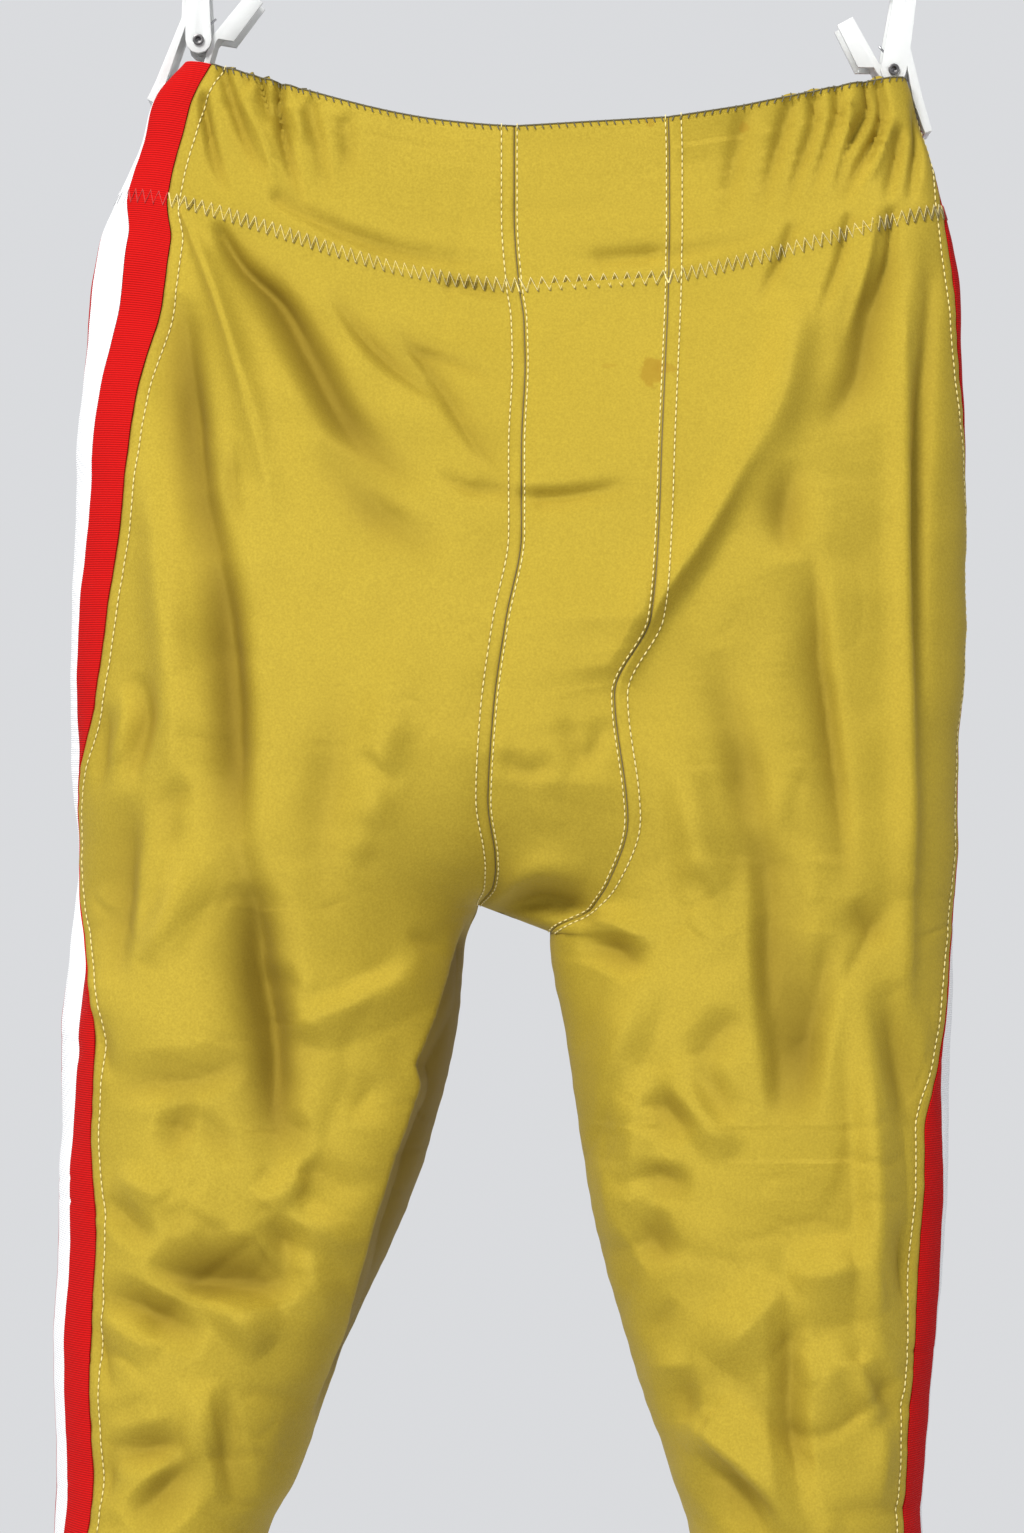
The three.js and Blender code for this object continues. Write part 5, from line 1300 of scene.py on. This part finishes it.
def zigzag_line(upper, lower, period):
    """Zigzag between two lines of points that run side by side."""
    measures = [np.concatenate([[0], np.cumsum(np.linalg.norm(np.diff(line, axis=0), axis=1))])
                for line in (upper, lower)]
    count = max(2, round(measures[1][-1] / (period / 2)))
    random = np.random.default_rng(5)
    shares = np.linspace(0, 1, count + 1) + random.uniform(-0.15, 0.15, count + 1) / count
    points = []
    for i, share in enumerate(np.clip(shares, 0, 1)):
        line, measure = (upper, measures[0]) if i % 2 == 0 else (lower, measures[1])
        points.append([np.interp(share * measure[-1], measure, line[:, k]) for k in range(3)])
    return np.array(points)


def sew_zigzags():
    lines = {GOLD_THREAD: [], RED_THREAD: [], WHITE_THREAD: []}
    looks = (GOLD_THREAD, RED_THREAD, WHITE_THREAD, RED_THREAD, GOLD_THREAD)
    pairs = [(GRIDS[half.name, slot, True], GRIDS[half.name, slot, False], look, ZIGZAG_PERIOD)
             for half in (LEFT, RIGHT) for slot, look in enumerate(looks)]
    pairs.append((*PANEL_GRIDS, GOLD_THREAD, ZIGZAG_PANEL_PERIOD))
    for band, leg, look, period in pairs:
        upper = band.across(ZIGZAG_HALF_HEIGHT, False, THREAD_LIFT)
        lower = leg.across(ZIGZAG_HALF_HEIGHT, True, THREAD_LIFT)
        lines[look].append(zigzag_line(upper, lower, period))
    slots = {GOLD_THREAD: "gold_satin", RED_THREAD: "red_rib", WHITE_THREAD: "white_rib"}
    for look, slot in slots.items():
        sew("zigzag_" + slot, lines[look], LAID_THREAD, laid_values(ZIGZAG_THREAD, look))
    # Dark lines just below and beside the gold zigzags, painted shadow of the pinched cloth.
    under = [line + np.array([ZIGZAG_SHADOW, 0.0, -ZIGZAG_SHADOW]) for line in lines[GOLD_THREAD]]
    sew("zigzag_groove_shadows", under, LAID_THREAD, laid_values(ZIGZAG_THREAD, GROOVE_SHADOW))


def sew_waist_edge():
    """Edge stitching over the top of the waist, with a line along the top edge: dark in front, where
    that line is a painted shadow of the gap to the white backing, pale behind.
    """
    parts = {
        "edge_stitches_front": ([GRIDS["left", 4, True], GRIDS["right", 4, True], PANEL_GRIDS[0]],
                                DARK_THREAD_AND_EDGE_SHADOW, EDGE_SPACING),
        "edge_stitches_back": ([GRIDS["left", 0, True], GRIDS["right", 0, True]],
                               WHITE_THREAD, EDGE_SPACING / 2),
    }
    for name, (grids, look, spacing) in parts.items():
        short = []
        for grid in grids:
            line = grid.across(0.0, True, 0.0)
            out = grid.normal[0]
            size = np.concatenate([[0], np.cumsum(np.linalg.norm(np.diff(line, axis=0), axis=1))])
            # A line along the top edge; the dark one in front is a painted shadow of the gap to the
            # white backing.
            short.append(line + out * 0.15 + (0, 0, 0.1))
            for at in np.arange(EDGE_FIRST, size[-1] - 1, spacing):
                middle = np.array([np.interp(at, size, line[:, k]) for k in range(3)])
                away = np.array([np.interp(at, size, out[:, k]) for k in range(3)])
                low = np.array([np.interp(at + EDGE_SLANT, size, line[:, k]) for k in range(3)])
                short.append(np.array([middle - away * BAND_WALL + (0, 0, 0.1), middle + (0, 0, 0.3),
                                       middle + away * EDGE_OUT,
                                       low + away * EDGE_OUT - (0, 0, EDGE_DROP)]))
        sew(name, short, LAID_THREAD, laid_values(EDGE_THREAD, look))


sew_rows()
fold_seam()
sew_zigzags()
sew_waist_edge()


# Hanger and clips
def softened(node, look, bevel):
    """Copy of a solid with small rounded edges."""
    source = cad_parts[node]
    mesh = source.data.copy()
    obj = bpy.data.objects.new(node + "_part", mesh)
    bpy.context.scene.collection.objects.link(obj)
    weld = obj.modifiers.new("weld", "WELD")
    weld.merge_threshold = 0.00001
    if bevel:
        round_edges = obj.modifiers.new("round", "BEVEL")
        round_edges.width = bevel * MM
        round_edges.segments = 2
        round_edges.limit_method = "ANGLE"
        round_edges.angle_limit = math.radians(32)
        round_edges.use_clamp_overlap = True
    view = bpy.context.evaluated_depsgraph_get()
    made = bpy.data.meshes.new_from_object(obj.evaluated_get(view))
    obj.modifiers.clear()
    obj.data = made
    made.materials.clear()
    made.materials.append(look)
    made.polygons.foreach_set("use_smooth", np.ones(len(made.polygons), bool))
    made.polygons.foreach_set("material_index", np.zeros(len(made.polygons), np.int32))
    sharpen(made, 40)
    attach(obj, "root")
    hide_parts(node)
    return obj


softened("hanger_frame", PLASTIC, 0.4)
for side in ("left", "right"):
    softened(f"clip_{side}_lever", PLASTIC, 0.35)
    softened(f"clip_{side}_pin", DARK_STEEL, 0.2)
    softened(f"clip_{side}_spring", STEEL, 0)
softened("hanger_hook", STEEL, 0)


# Stage, light and camera: metres, and millimetres for the lens
FLOOR_SIZE = 2.8
FLOOR_HEIGHT = -1.05
LENS = 89.4
SENSOR_WIDTH = 36


def stage_plane(name, size, place, turn, material):
    bpy.ops.mesh.primitive_plane_add(size=size, location=place, rotation=turn)
    plane = bpy.context.object
    plane.name = name
    plane.data.materials.append(material)
    return plane


PALE = uneven_material(
    "pale_studio", (0.67, 0.68, 0.7, 1), (0.65, 0.66, 0.68, 1), 1.5, 1.0, Roughness=0.9)
floor = stage_plane("floor", FLOOR_SIZE, (0, 0, FLOOR_HEIGHT), (0, 0, 0), PALE)


def area_light(name, place, target, size, power, colour):
    data = bpy.data.lights.new(name, "AREA")
    data.shape = "SQUARE"
    data.size = size
    data.energy = power
    data.color = colour
    light = bpy.data.objects.new(name, data)
    light.location = place
    light.rotation_euler = (Vector(target) - Vector(place)).to_track_quat("-Z", "Y").to_euler()
    bpy.context.scene.collection.objects.link(light)


LIGHTS = (
    # name, place, target, size, watts, colour
    ("key", (-1.3, -2.6, 1.9), (0, 0, -0.45), 1.1, 165, (1.0, 1.0, 0.98)),
    ("fill", (1.4, -2.4, -0.1), (0, 0, -0.5), 1.6, 9, (0.97, 0.98, 1.0)),
)
for light in LIGHTS:
    area_light(*light)
world = bpy.data.worlds.new("soft_room")
world.use_nodes = True
room = world.node_tree
light_of_room = room.nodes["Background"]
light_of_room.inputs[0].default_value = (0.95, 0.96, 1.0, 1)
light_of_room.inputs[1].default_value = 0.55
pale_wall = add_node(room, "ShaderNodeBackground", {0: (0.7, 0.71, 0.73, 1), 1: 1.0})
seen = add_node(room, "ShaderNodeLightPath").outputs["Is Camera Ray"]
both = add_node(room, "ShaderNodeMixShader", {
    0: seen, 1: light_of_room.outputs[0], 2: pale_wall.outputs[0]})
room.links.new(both.outputs[0], room.nodes["World Output"].inputs["Surface"])
bpy.context.scene.world = world

camera_data = bpy.data.cameras.new("camera")
camera_data.lens = LENS
camera_data.sensor_width = SENSOR_WIDTH
camera = bpy.data.objects.new("camera", camera_data)
camera.location = (VIEW_X * MM, -VIEW_DISTANCE * MM, VIEW_Z * MM)
camera.rotation_euler = (math.pi / 2, 0, 0)
bpy.context.scene.collection.objects.link(camera)
bpy.context.scene.camera = camera
bpy.context.scene.view_settings.view_transform = "Standard"
